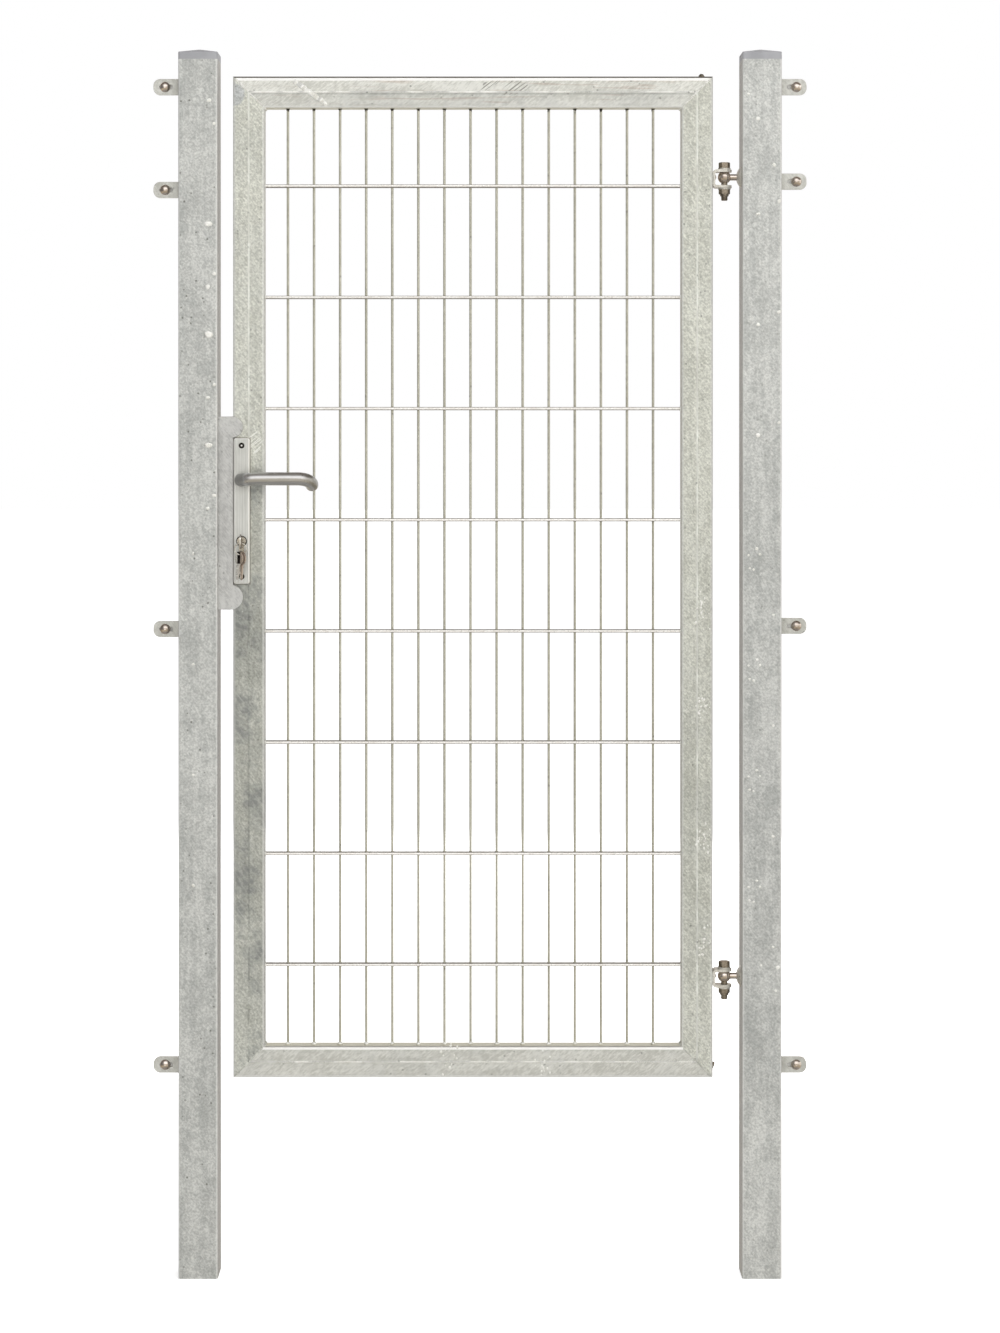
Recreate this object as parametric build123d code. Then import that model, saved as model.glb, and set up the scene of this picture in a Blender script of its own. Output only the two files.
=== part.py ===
from build123d import *
from math import sqrt
import os

# Mesh gate with its two posts, hinges and lock. All sizes are in millimetres.
# X runs along the gate from the lock post to the hinge post, Y to the back and Z up.
# The origin is at the level of the post feet, midway between the posts.

# Posts and caps
clear_opening = 1000.0  # between the two posts
post_side = 75.0
post_wall = 3.0
post_inner_corner = 1.0
post_above_leaf = 31.0  # post top over the leaf's top edge
cap_rim = 14.0
cap_rise = 8.0  # of the low pyramid on the rim
cap_tip = 6.0  # flat on the pyramid's tip
cap_tip_corner = 1.0
cap_skirt = 20.0  # depth of the skirt in the tube
cap_skirt_wall = 2.0
cap_play = 0.3
cap_corner = 2.0  # of the skirt
cap_edge = 1.5  # round on the rim

# Fence tabs with their clamps
tab_length = 50.5
tab_height = 31.0
tab_thick = 5.0
tab_round = 13.0
tab_edge = 0.8  # round on the front edges
tab_slot_length = 26.0
tab_slot_width = 9.0
tab_slot_centre = 26.0  # from the post's face
tab_setback = -5.0  # middle of the tab's thickness
lock_tab_drops = (50.0, 247.0, 1088.0, 1923.0)  # under the post's top
hinge_tab_drops = (50.0, 231.0, 1082.0, 1923.0)
lock_clamp_reach = 28.0  # bolt from the post's face
hinge_clamp_reach = 31.0
clamp_bolt = 8.0
clamp_dome = 20.0
clamp_dome_height = 5.0
clamp_plate_length = 34.0
clamp_plate_height = 26.0
clamp_plate_thick = 4.0
clamp_plate_corner = 4.0
clamp_washer = 16.0
clamp_washer_thick = 1.6
clamp_hex = 13.0
clamp_nut = 6.5
clamp_past_nut = 3.0

# Leaf frame
leaf_foot = 380.0  # lower edge over the post feet
leaf_height = 1914.0
lock_gap = 28.0  # lock post to leaf
hinge_gap = 55.0  # leaf to hinge post
tube_face = 60.0
tube_depth = 40.0
tube_wall = 2.5
tube_inner_corner = 2.5

# Mesh
upright_wire = 5.0
cross_wire = 6.0
upright_pitch = 50.0
cross_pitch = 213.2
mesh_shift = -4.7  # uprights from the middle of the leaf
mesh_lift = 2.5  # cross wires from the middle of the leaf
wire_play = 0.05

# Hinges
pin_to_leaf = 23.5
hinge_inset = 191.3  # eye from the leaf's top or lower edge
pin = 12.0
pin_play = 0.075  # pin in the eye, on the radius
eye_ball = 25.0
eye_top_land = 2.6  # flat ring round the bore
eye_bottom_land = 1.5
eye_play = 0.3  # eye to the upper leg
pin_show = 5.7  # pin in sight under the eye
clevis_plate = 5.0
clevis_width = 28.0
clevis_bend = 3.0
plug_weld = 12.0
plug_weld_height = 3.0
pin_washer = 24.0
pin_washer_thick = 3.0
pin_hex = 19.0
pin_head = 11.0
pin_nut = 13.0
pin_nut_collar = 4.0
pin_nut_collar_width = 16.5
pin_past_nut = 8.0
eye_shank = 12.0
rosette = 41.0
rosette_height = 9.0
socket = 20.0
socket_inside = 20.0  # socket behind the post's face

# Stop plate and keeper channel
stop_thick = 5.0
stop_reach = 19.5  # ears over the stile
stop_play = 0.5  # stop plate to the stile's face
stop_top_ear = 40.0
stop_bottom_ear = 48.0
stop_edge = 1.0  # round on the front edges
notch_play = 1.1  # notch to the lock plate's side
notch_end_play = 1.0
keeper_gap = 8.0  # forend to keeper
keeper_wall = 3.0
keeper_depth = 40.0
keeper_margin = 25.0  # beyond the bolts, up and down
keeper_play = 2.0  # round the bolts

# Lock plates, lever and knob
handle_height = 1143.0  # spindle over the leaf's lower edge
backset = 17.0  # spindle from the leaf's edge
lock_centres = 117.0  # spindle to cylinder
plate_width = 31.0
plate_height = 279.0
plate_thick = 8.0
plate_corner = 5.0
plate_edge = 2.5
plate_drop = 59.5  # plate's middle under the spindle
plate_screw_inset = 14.5  # from the plate's ends
plate_screw = 5.0
plate_screw_head = 8.4
plate_screw_head_height = 3.0
plate_screw_drive = 3.0  # hexagon socket
plate_screw_grip = 6.0  # in the rear plate
counterbore = 10.0
counterbore_depth = 4.0
lever_tube = 25.0
lever_reach = 38.0  # plate to the middle of the grip
lever_grip = 135.0
lever_rise = 2.5  # grip over the spindle
lever_rise_length = 32.0
lever_rise_bend = 60.0
lever_return = 30.0
lever_droop = 12.5
lever_bend = 25.0
lever_end_round = 7.0
lever_play = 0.4
knob = 50.0
knob_head = 26.0  # thickness
knob_head_round = 9.0
knob_neck = 24.0
knob_reach = 50.0  # plate to the knob's end
journal = 18.0
journal_depth = 7.0  # in the plate
spindle = 8.0
spindle_in_handle = 28.0
grub = 6.0
grub_from_plate = 14.0
grub_drive = 3.0

# Lock case, bolts and cylinder
case_thick = 16.0
case_wall = 1.5
case_room = 10.5  # behind the case, to the tube's wall
case_above = 49.0  # over the spindle
case_below = 51.0  # under the cylinder's axis
case_play = 0.5  # round the case in the stile
forend_thick = 3.0
forend_width = 24.0
forend_past = 16.0  # beyond the case at each end
forend_screw = 4.0
forend_screw_head = 8.0
forend_screw_length = 12.0
follower_hub = 18.0
follower_proud = 1.0
follower_arm = 19.5
follower_arm_width = 6.0
follower_arm_thick = 8.0
latch_rise = 32.0  # over the spindle
latch_height = 24.0
latch_thick = 12.0
latch_throw = 15.0
latch_head = 24.0
latch_bevel = 12.0
latch_tip = 3.0
latch_tail_height = 8.0
latch_lug = 10.0
arm_play = 0.6  # latch lug to the follower's arm
arm_room = 1.0  # over and under the arm
bolt_play = 0.3  # bolts in the forend
spring_coil = 10.0
spring_wire = 1.2
spring_turns = 7
spring_rise = 5.0  # over the latch's middle
dead_rise = 48.0  # over the cylinder's axis
dead_height = 32.0
dead_thick = 11.0
dead_length = 45.0
dead_proud = 0.5
talon = 7.0
talon_gap = 4.0
cylinder_round = 17.0
cylinder_lobe = 10.0
cylinder_height = 33.0
cylinder_proud = 1.5
cylinder_cut_play = 1.0  # in the stile
cylinder_hole_play = 0.2  # in the lock plates and the case
cylinder_screw = 5.0
cylinder_screw_head = 9.0
cylinder_screw_drop = 20.0
cylinder_screw_past = 3.0
plug = 13.0
plug_proud = 0.5
cam_hub = 15.0
cam_reach = 15.0
cam_nose = 8.0
cam_width = 9.5
cam_slot = 10.0
cam_room = 0.6

# Keys and key ring
key_thick = 2.2
key_blade = 8.0
key_blade_length = 24.0
key_neck = 6.0
key_neck_width = 10.0
key_bow_length = 24.0
key_bow_width = 27.0
key_bow_round = 10.5
key_hole = 8.4
key_hole_inset = 7.5  # hole from the bow's outer end
key_notches = 4
key_notch_pitch = 4.5
key_notch_depth = 2.0
keyway_play = 0.1
keyway_past = 0.5
ring_radius = 11.0
ring_wire = 2.2
ring_play = 0.2  # ring in the bow of the key in the lock
spare_turn = 38.0  # spare keys about the upright
spare_leans = (10.0, 2.0)  # of the two spare keys, in their own planes
spare_spread = 2.2  # along the ring, to each side
spare_play = 0.7  # ring in a spare key's bow

# Fits that are used in several places
screw_play = 0.05  # a thread in its hole, on the radius
running_play = 0.05  # a turning piece in its bearing, on the radius
hole_play = 0.5  # a bolt or screw in a plain hole, on the radius
hex_chamfer = 1.0

# Positions that follow from the sizes
post_corner = post_inner_corner + post_wall
tube_corner = tube_inner_corner + tube_wall
lock_face = -clear_opening / 2
hinge_face = clear_opening / 2
post_centre = hinge_face + post_side / 2
post_outer = hinge_face + post_side
leaf_left = lock_face + lock_gap
leaf_right = hinge_face - hinge_gap
leaf_middle = (leaf_left + leaf_right) / 2
leaf_top = leaf_foot + leaf_height
post_length = leaf_top + post_above_leaf
half_depth = tube_depth / 2
plate_face = half_depth + plate_thick

axis_x = leaf_right + pin_to_leaf
hinge_heights = (leaf_top - hinge_inset, leaf_foot + hinge_inset)
eye_bore = pin + 2 * pin_play
eye_top = sqrt((eye_ball / 2) ** 2 - (eye_bore / 2 + eye_top_land) ** 2)
eye_bottom = sqrt((eye_ball / 2) ** 2 - (eye_bore / 2 + eye_bottom_land) ** 2)
upper_leg = eye_top + eye_play  # underside of the upper leg, from the eye's centre
lower_leg = -eye_bottom - pin_show  # top of the lower leg

lock_x = leaf_left + backset
spindle_z = leaf_foot + handle_height
cylinder_z = spindle_z - lock_centres
plate_z = spindle_z - plate_drop
plate_screw_reach = plate_height / 2 - plate_screw_inset
plate_screw_heights = (plate_z + plate_screw_reach, plate_z - plate_screw_reach)
forend_x = leaf_left - forend_thick
keeper_x = forend_x - keeper_gap
case_top = spindle_z + case_above
case_bottom = cylinder_z - case_below
case_rear = leaf_left + tube_face - tube_wall - case_room
case_half = case_thick / 2
forend_screw_heights = (case_top + forend_past / 2, case_bottom - forend_past / 2)
latch_z = spindle_z + latch_rise
latch_rear = forend_x - latch_throw + latch_head
dead_z = cylinder_z + dead_rise
dead_tip = forend_x - dead_proud
cylinder_end = plate_face + cylinder_proud
cylinder_drop = cylinder_height - cylinder_round / 2
cylinder_screw_z = cylinder_z - cylinder_screw_drop
plug_end = cylinder_end + plug_proud
key_hole_y = -plug_end - key_neck - key_bow_length + key_hole_inset
ring_z = cylinder_z - (key_hole - ring_wire) / 2 + ring_play - ring_radius


def block(x0, x1, y0, y1, z0, z1):
    return Pos((x0 + x1) / 2, (y0 + y1) / 2, (z0 + z1) / 2) * Box(x1 - x0, y1 - y0, z1 - z0)


def rod_x(diameter, x0, x1, y, z):
    return Pos((x0 + x1) / 2, y, z) * Rot(0, 90, 0) * Cylinder(diameter / 2, x1 - x0)


def rod_y(diameter, x, y0, y1, z):
    return Pos(x, (y0 + y1) / 2, z) * Rot(90, 0, 0) * Cylinder(diameter / 2, y1 - y0)


def rod_z(diameter, x, y, z0, z1):
    return Pos(x, y, (z0 + z1) / 2) * Cylinder(diameter / 2, z1 - z0)


def dome(diameter, height):
    radius = (diameter**2 / 4 + height**2) / (2 * height)
    ball = Pos(0, 0, height - radius) * Sphere(radius)
    return ball & block(-diameter, diameter, -diameter, diameter, 0, height)


def hexagon(across, height):
    prism = extrude(RegularPolygon(across / 2, 6, major_radius=False), amount=height)
    turned = rod_z(2 * across / sqrt(3), 0, 0, 0, height)
    turned = chamfer(turned.edges().sort_by(Axis.Z)[-1:], hex_chamfer)
    return prism & turned


def mirrored(shape):
    return mirror(shape, about=Plane.XZ)


# Posts


def post(x):
    inside = post_side - 2 * post_wall
    section = RectangleRounded(post_side, post_side, post_corner)
    section -= RectangleRounded(inside, inside, post_inner_corner)
    return Pos(x, 0, 0) * extrude(section, amount=post_length)


def post_cap(x):
    outline = RectangleRounded(post_side, post_side, post_corner)
    tip = Pos(0, 0, cap_rim + cap_rise) * RectangleRounded(cap_tip, cap_tip, cap_tip_corner)
    rim = extrude(outline, amount=cap_rim)
    lid = rim + loft([Pos(0, 0, cap_rim) * outline, tip])
    rim_edges = lid.edges().filter_by_position(Axis.Z, cap_rim, cap_rim)
    lid = fillet(rim_edges, cap_edge)
    outside = post_side - 2 * post_wall - 2 * cap_play
    inside = outside - 2 * cap_skirt_wall
    skirt = RectangleRounded(outside, outside, cap_corner) - Rectangle(inside, inside)
    return Pos(x, 0, post_length) * (lid + extrude(skirt, amount=-cap_skirt))


def fence_tab(side, drop):
    outline = Pos(tab_length / 2, 0) * Rectangle(tab_length, tab_height)
    outline = fillet(outline.vertices().sort_by(Axis.X)[-2:], tab_round)
    outline -= Pos(tab_slot_centre, 0) * SlotOverall(tab_slot_length, tab_slot_width)
    tab = extrude(Plane.XZ * outline, amount=tab_thick / 2, both=True)
    front_edges = tab.faces().sort_by(Axis.Y)[0].edges().sort_by(Axis.X)
    tab = fillet(front_edges[1:], tab_edge)
    if side < 0:
        tab = mirror(tab, about=Plane.YZ)
    return Pos(side * post_outer, tab_setback, post_length - drop) * tab


def clamp_places():
    places = [(-post_outer - lock_clamp_reach, post_length - drop) for drop in lock_tab_drops]
    places += [(post_outer + hinge_clamp_reach, post_length - drop) for drop in hinge_tab_drops]
    return places


tab_front = tab_setback - tab_thick / 2
tab_back = tab_setback + tab_thick / 2
clamp_back = tab_back + clamp_plate_thick
washer_back = clamp_back + clamp_washer_thick
nut_back = washer_back + clamp_nut


def clamp_bolt_at(x, z):
    head = Pos(x, tab_front, z) * Rot(90, 0, 0) * dome(clamp_dome, clamp_dome_height)
    half = clamp_bolt / 2
    neck = block(x - half, x + half, tab_front, tab_back, z - half, z + half)
    return head + neck + rod_y(clamp_bolt, x, tab_front, nut_back + clamp_past_nut, z)


def clamp_plate_at(x, z):
    outline = RectangleRounded(clamp_plate_length, clamp_plate_height, clamp_plate_corner)
    plate = extrude(Plane.XZ * outline, amount=clamp_plate_thick / 2, both=True)
    plate = Pos(x, (tab_back + clamp_back) / 2, z) * plate
    return plate - rod_y(clamp_bolt + 2 * hole_play, x, tab_back, clamp_back, z)


def clamp_washer_at(x, z):
    washer = rod_y(clamp_washer, x, clamp_back, washer_back, z)
    return washer - rod_y(clamp_bolt + 2 * hole_play, x, clamp_back, washer_back, z)


def clamp_nut_at(x, z):
    nut = Pos(x, washer_back, z) * Rot(-90, 0, 0) * hexagon(clamp_hex, clamp_nut)
    return nut - rod_y(clamp_bolt + 2 * screw_play, x, washer_back, nut_back, z)


# Hinges


def eye_bolt(z):
    ball = Pos(axis_x, 0, z) * Sphere(eye_ball / 2)
    reach = eye_ball
    ball &= block(axis_x - reach, axis_x + reach, -reach, reach, z - eye_bottom, z + eye_top)
    ball += rod_x(eye_shank, axis_x, hinge_face + socket_inside, 0, z)
    return ball - rod_z(eye_bore, axis_x, 0, z - eye_ball, z + eye_ball)


def eye_socket(z):
    flange = Pos(hinge_face, 0, z) * Rot(0, -90, 0) * dome(rosette, rosette_height)
    sleeve = rod_x(socket, hinge_face, hinge_face + socket_inside, 0, z)
    bore = eye_shank + 2 * screw_play
    return flange + sleeve - rod_x(bore, hinge_face - rosette_height, hinge_face + socket_inside, 0, z)


def clevis(z):
    top = upper_leg + clevis_plate
    bottom = lower_leg - clevis_plate
    end = axis_x + clevis_width / 2
    length = end - leaf_right
    outside = Pos(leaf_right + length / 2, (top + bottom) / 2) * Rectangle(length, top - bottom)
    outside = fillet(outside.vertices().sort_by(Axis.X)[:2], clevis_bend + clevis_plate)
    gap = upper_leg - lower_leg
    inside = Pos(leaf_right + clevis_plate + length / 2, (upper_leg + lower_leg) / 2) * Rectangle(length, gap)
    inside = fillet(inside.vertices().sort_by(Axis.X)[:2], clevis_bend)
    strap = extrude(Plane.XZ * (outside - inside), amount=clevis_width / 2, both=True)
    plan = Pos((leaf_right + axis_x) / 2, 0) * Rectangle(pin_to_leaf, clevis_width)
    plan += Pos(axis_x, 0) * Circle(clevis_width / 2)
    strap &= Pos(0, 0, bottom) * extrude(plan, amount=top - bottom)
    strap -= rod_z(pin + 2 * hole_play, axis_x, 0, bottom, top)
    strap += Pos(leaf_right + clevis_plate, 0, 0) * Rot(0, 90, 0) * dome(plug_weld, plug_weld_height)
    return Pos(0, 0, z) * strap


head_seat = upper_leg + clevis_plate + pin_washer_thick
nut_seat = lower_leg - clevis_plate - pin_washer_thick


def pin_bolt(z):
    head = Pos(axis_x, 0, z + head_seat) * hexagon(pin_hex, pin_head)
    shank = rod_z(pin, axis_x, 0, z + nut_seat - pin_nut - pin_past_nut, z + head_seat)
    shank = chamfer(shank.edges().sort_by(Axis.Z)[:1], hex_chamfer)
    return head + shank


def pin_washer_at(low, z):
    washer = rod_z(pin_washer, axis_x, 0, z + low, z + low + pin_washer_thick)
    return washer - rod_z(pin + 2 * hole_play, axis_x, 0, z + low, z + low + pin_washer_thick)


def pin_nut_at(z):
    collar = rod_z(pin_nut_collar_width, 0, 0, 0, pin_nut)
    collar = chamfer(collar.edges().sort_by(Axis.Z)[-1:], hex_chamfer)
    nut = hexagon(pin_hex, pin_nut - pin_nut_collar) + collar
    nut -= rod_z(pin + 2 * screw_play, 0, 0, 0, pin_nut)
    return Pos(axis_x, 0, z + nut_seat) * Rot(180, 0, 0) * nut


# Leaf


def tube_section():
    section = RectangleRounded(tube_face, tube_depth, tube_corner)
    inside = RectangleRounded(tube_face - 2 * tube_wall, tube_depth - 2 * tube_wall, tube_inner_corner)
    return section - inside


def mitre(points):
    face = make_face(Polyline(*points, close=True))
    return extrude(Plane.XZ * face, amount=tube_depth, both=True)


def stile(edge, inner_edge):
    tube = Pos((edge + inner_edge) / 2, 0, leaf_foot) * extrude(tube_section(), amount=leaf_height)
    low, high = leaf_foot + tube_face, leaf_top - tube_face
    return tube & mitre([(edge, leaf_foot), (edge, leaf_top), (inner_edge, high), (inner_edge, low)])


def rail(edge, inner_edge):
    tube = extrude(tube_section(), amount=leaf_right - leaf_left)
    tube = Pos(leaf_left, 0, (edge + inner_edge) / 2) * Rot(0, 90, 0) * tube
    near, far = leaf_left + tube_face, leaf_right - tube_face
    return tube & mitre([(leaf_left, edge), (leaf_right, edge), (far, inner_edge), (near, inner_edge)])


def euro_profile(grow):
    lobe = cylinder_lobe + 2 * grow
    low = -cylinder_drop + cylinder_lobe / 2
    shape = Circle(cylinder_round / 2 + grow) + Pos(0, low / 2) * Rectangle(lobe, -low)
    return shape + Pos(0, low) * Circle(lobe / 2)


def euro_prism(grow, y0, y1):
    prism = extrude(Plane.XZ * euro_profile(grow), amount=(y1 - y0) / 2, both=True)
    return Pos(lock_x, (y0 + y1) / 2, cylinder_z) * prism


def lock_stile():
    tube = stile(leaf_left, leaf_left + tube_face)
    half = case_half + case_play
    inner = leaf_left + tube_wall
    tube -= block(leaf_left, inner, -half, half, case_bottom - case_play, case_top + case_play)
    tube -= euro_prism(cylinder_cut_play, -half_depth, half_depth)
    tube -= rod_y(journal + 2 * hole_play, lock_x, -half_depth, half_depth, spindle_z)
    for z in plate_screw_heights:
        tube -= rod_y(plate_screw + 2 * hole_play, lock_x, -half_depth, half_depth, z)
    for z in forend_screw_heights:
        tube -= rod_x(forend_screw + 2 * screw_play, leaf_left, inner, 0, z)
    return tube


mesh_left = leaf_left + tube_face
mesh_right = leaf_right - tube_face
mesh_bottom = leaf_foot + tube_face
mesh_top = leaf_top - tube_face
upright_count = int((mesh_right - mesh_left) // upright_pitch)
cross_count = int((mesh_top - mesh_bottom) // cross_pitch)
cross_y = (upright_wire + cross_wire) / 2 + wire_play


def upright_places():
    first = leaf_middle + mesh_shift - (upright_count - 1) * upright_pitch / 2
    return [first + i * upright_pitch for i in range(upright_count)]


def cross_places():
    first = (mesh_bottom + mesh_top) / 2 + mesh_lift - (cross_count - 1) * cross_pitch / 2
    return [first + i * cross_pitch for i in range(cross_count)]


# Stop plate and keeper


def stop_plate():
    ear_end = leaf_left + stop_reach
    notch_x = lock_x - plate_width / 2 - notch_play
    notch_top = plate_z + plate_height / 2 + notch_end_play
    notch_bottom = plate_z - plate_height / 2 - notch_end_play
    top = notch_top + stop_top_ear
    bottom = notch_bottom - stop_bottom_ear
    back = -half_depth - stop_play
    front = back - stop_thick
    plate = block(lock_face, notch_x, front, back, (bottom + notch_bottom) / 2, (notch_top + top) / 2)
    for low, high in ((notch_top, top), (bottom, notch_bottom)):
        round_x = ear_end - (high - low) / 2
        plate += block(lock_face, round_x, front, back, low, high)
        end = rod_y(high - low, round_x, front, back, (low + high) / 2)
        plate += end & block(lock_face, ear_end, front, back, low, high)
    front_edges = plate.faces().sort_by(Axis.Y)[0].edges().sort_by(Axis.X)
    return fillet(front_edges[1:], stop_edge)


def keeper_channel():
    front = -half_depth - stop_play
    back = front + keeper_depth
    low = dead_z - dead_height / 2 - keeper_margin
    high = latch_z + latch_height / 2 + keeper_margin
    channel = block(lock_face, keeper_x, front, back, low, high)
    channel -= block(lock_face, keeper_x - keeper_wall, front + keeper_wall, back - keeper_wall, low, high)
    for z, height, thick in ((latch_z, latch_height, latch_thick), (dead_z, dead_height, dead_thick)):
        half_h = height / 2 + keeper_play
        half_t = thick / 2 + keeper_play
        channel -= block(keeper_x - keeper_wall, keeper_x, -half_t, half_t, z - half_h, z + half_h)
    return channel


# Lock plates, lever, knob and lock case


def lock_plate():
    outline = Plane.XZ * RectangleRounded(plate_width, plate_height, plate_corner)
    plate = extrude(outline, amount=plate_thick)
    plate = fillet(plate.faces().sort_by(Axis.Y)[0].edges(), plate_edge)
    plate = Pos(lock_x, -half_depth, plate_z) * plate
    plate -= rod_y(journal + 2 * running_play, lock_x, -plate_face, -half_depth, spindle_z)
    return plate - euro_prism(cylinder_hole_play, -plate_face, -half_depth)


def front_plate():
    plate = lock_plate()
    for z in plate_screw_heights:
        plate -= rod_y(plate_screw + 2 * hole_play, lock_x, -plate_face, -half_depth, z)
        plate -= rod_y(counterbore, lock_x, -plate_face, -plate_face + counterbore_depth, z)
    return plate


def rear_plate():
    plate = mirrored(lock_plate())
    for z in plate_screw_heights:
        plate -= rod_y(plate_screw + 2 * screw_play, lock_x, half_depth, half_depth + plate_screw_grip, z)
    return plate


def plate_screw_at(z):
    seat = -plate_face + counterbore_depth
    screw = rod_y(plate_screw_head, lock_x, seat - plate_screw_head_height, seat, z)
    screw += rod_y(plate_screw, lock_x, seat, half_depth + plate_screw_grip, z)
    drive = hexagon(plate_screw_drive, plate_screw_head_height / 2)
    return screw - Pos(lock_x, seat - plate_screw_head_height, z) * Rot(-90, 0, 0) * drive


handle_start = -plate_face - lever_play
grub_y = handle_start - grub_from_plate


def fitted_to_spindle(handle, neck):
    handle += rod_y(journal, lock_x, handle_start, handle_start + journal_depth, spindle_z)
    half = spindle / 2 + screw_play
    deep = handle_start - spindle_in_handle + journal_depth
    handle -= block(lock_x - half, lock_x + half, deep, -half_depth, spindle_z - half, spindle_z + half)
    return handle - rod_z(grub + 2 * screw_play, lock_x, grub_y, spindle_z - neck, spindle_z)


def lever():
    grip_y = -plate_face - lever_reach
    grip_z = spindle_z + lever_rise
    far = lock_x + lever_grip
    neck = (lock_x, handle_start, spindle_z)
    near_bend = (lock_x, grip_y, spindle_z)
    grip_start = (lock_x + lever_rise_length, grip_y, grip_z)
    far_bend = (far, grip_y, grip_z)
    end = (far, grip_y + lever_return, spindle_z - lever_droop)
    bends = (lever_bend, lever_rise_bend, lever_bend)
    path = FilletPolyline(neck, near_bend, grip_start, far_bend, end, radius=bends)
    section = Plane(origin=path @ 0, z_dir=path % 0) * Circle(lever_tube / 2)
    handle = sweep(section, path=path)
    tip = handle.faces().sort_by_distance(end)[0]
    handle = fillet(tip.edges(), lever_end_round)
    return fitted_to_spindle(handle, lever_tube)


def round_knob():
    end = -plate_face - knob_reach
    head = rod_y(knob, lock_x, end, end + knob_head, spindle_z)
    head = fillet(head.edges().filter_by(GeomType.CIRCLE), knob_head_round)
    neck = rod_y(knob_neck, lock_x, end + knob_head / 2, handle_start, spindle_z)
    return fitted_to_spindle(head + neck, knob_neck)


def grub_screw(neck):
    low = spindle_z - neck / 2 + hex_chamfer
    screw = rod_z(grub, lock_x, grub_y, low, spindle_z - spindle / 2 - screw_play)
    return screw - Pos(lock_x, grub_y, low) * hexagon(grub_drive, grub_drive)


def lever_spindle():
    half = spindle / 2
    length = plate_face + lever_play + spindle_in_handle - journal_depth - screw_play
    return block(lock_x - half, lock_x + half, -length, length, spindle_z - half, spindle_z + half)


def case_holes(y0, y1):
    holes = rod_y(follower_hub + 2 * running_play, lock_x, y0, y1, spindle_z)
    return holes + euro_prism(cylinder_hole_play, y0, y1)


def lock_case():
    tray = block(leaf_left, case_rear, -case_half, case_half - case_wall, case_bottom, case_top)
    inner_low, inner_high = case_bottom + case_wall, case_top - case_wall
    tray -= block(leaf_left, case_rear - case_wall, case_wall - case_half, case_half, inner_low, inner_high)
    return tray - case_holes(-case_half, case_wall - case_half)


def case_cover():
    cover = block(leaf_left, case_rear, case_half - case_wall, case_half, case_bottom, case_top)
    return cover - case_holes(case_half - case_wall, case_half)


def countersunk(diameter, head, length, z):
    cone_height = (head - diameter) / 2
    cone = Cone(diameter / 2, head / 2, cone_height)
    cone = Pos(forend_x + cone_height / 2, 0, z) * Rot(0, -90, 0) * cone
    return cone + rod_x(diameter, forend_x, forend_x + length, 0, z)


def forend():
    low, high = case_bottom - forend_past, case_top + forend_past
    plate = block(forend_x, leaf_left, -forend_width / 2, forend_width / 2, low, high)
    for z, height, thick in ((latch_z, latch_height, latch_thick), (dead_z, dead_height, dead_thick)):
        half_h = height / 2 + bolt_play
        half_t = thick / 2 + bolt_play
        plate -= block(forend_x, leaf_left, -half_t, half_t, z - half_h, z + half_h)
    wider = 2 * screw_play
    for z in forend_screw_heights:
        plate -= countersunk(forend_screw + wider, forend_screw_head + wider, forend_screw_length, z)
    return plate - countersunk(cylinder_screw + wider, cylinder_screw_head + wider, lock_gap, cylinder_screw_z)


def follower():
    proud = case_half + follower_proud
    half_w, half_t = follower_arm_width / 2, follower_arm_thick / 2
    body = rod_y(follower_hub, lock_x, -proud, proud, spindle_z)
    body += block(lock_x - half_w, lock_x + half_w, -half_t, half_t, spindle_z, spindle_z + follower_arm)
    half = spindle / 2 + screw_play
    return body - block(lock_x - half, lock_x + half, -proud, proud, spindle_z - half, spindle_z + half)


def latch_bolt():
    tip = forend_x - latch_throw
    low, high = latch_z - latch_height / 2, latch_z + latch_height / 2
    half = latch_thick / 2
    nose = [(tip, half), (latch_rear, half), (latch_rear, -half), (tip + latch_bevel, -half), (tip, half - latch_tip)]
    head = Pos(0, 0, low) * extrude(make_face(Polyline(*nose, close=True)), amount=latch_height)
    half_t = follower_arm_thick / 2
    lug_x = lock_x + follower_arm_width / 2 + arm_play
    tail_low = spindle_z + follower_arm + arm_room
    tail_high = tail_low + latch_tail_height
    tail = block(latch_rear, lug_x + latch_lug, -half_t, half_t, tail_low, tail_high)
    lug_low = spindle_z + follower_hub / 2 + arm_room
    return head + tail + block(lug_x, lug_x + latch_lug, -half_t, half_t, lug_low, tail_high)


def latch_spring():
    length = case_rear - case_wall - latch_rear - spring_wire
    path = Helix(pitch=length / spring_turns, height=length, radius=(spring_coil - spring_wire) / 2)
    section = Plane(origin=path @ 0, z_dir=path % 0) * Circle(spring_wire / 2)
    coil = Rot(0, 90, 0) * sweep(section, path=path, is_frenet=True)
    return Pos(latch_rear + spring_wire / 2, 0, latch_z + spring_rise) * coil


def dead_bolt():
    half = dead_thick / 2
    low, high = dead_z - dead_height / 2, dead_z + dead_height / 2
    rear = dead_tip + dead_length
    bolt = block(dead_tip, rear, -half, half, low, high)
    half_t = follower_arm_thick / 2
    talon_low = cylinder_z + cam_reach + arm_room
    for x in (rear - talon, rear - 2 * talon - talon_gap):
        bolt += block(x, x + talon, -half_t, half_t, talon_low, low)
    return bolt


def cylinder_body():
    body = euro_prism(0, -cylinder_end, cylinder_end)
    body -= rod_y(plug + 2 * running_play, lock_x, -cylinder_end, cylinder_end, cylinder_z)
    half = cam_slot / 2
    above = cylinder_z - cam_reach - cam_room
    wide = cylinder_round
    body -= block(lock_x - wide, lock_x + wide, -half, half, above, cylinder_z + wide)
    return body - rod_x(cylinder_screw + 2 * screw_play, lock_x - wide, lock_x + wide, 0, cylinder_screw_z)


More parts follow.
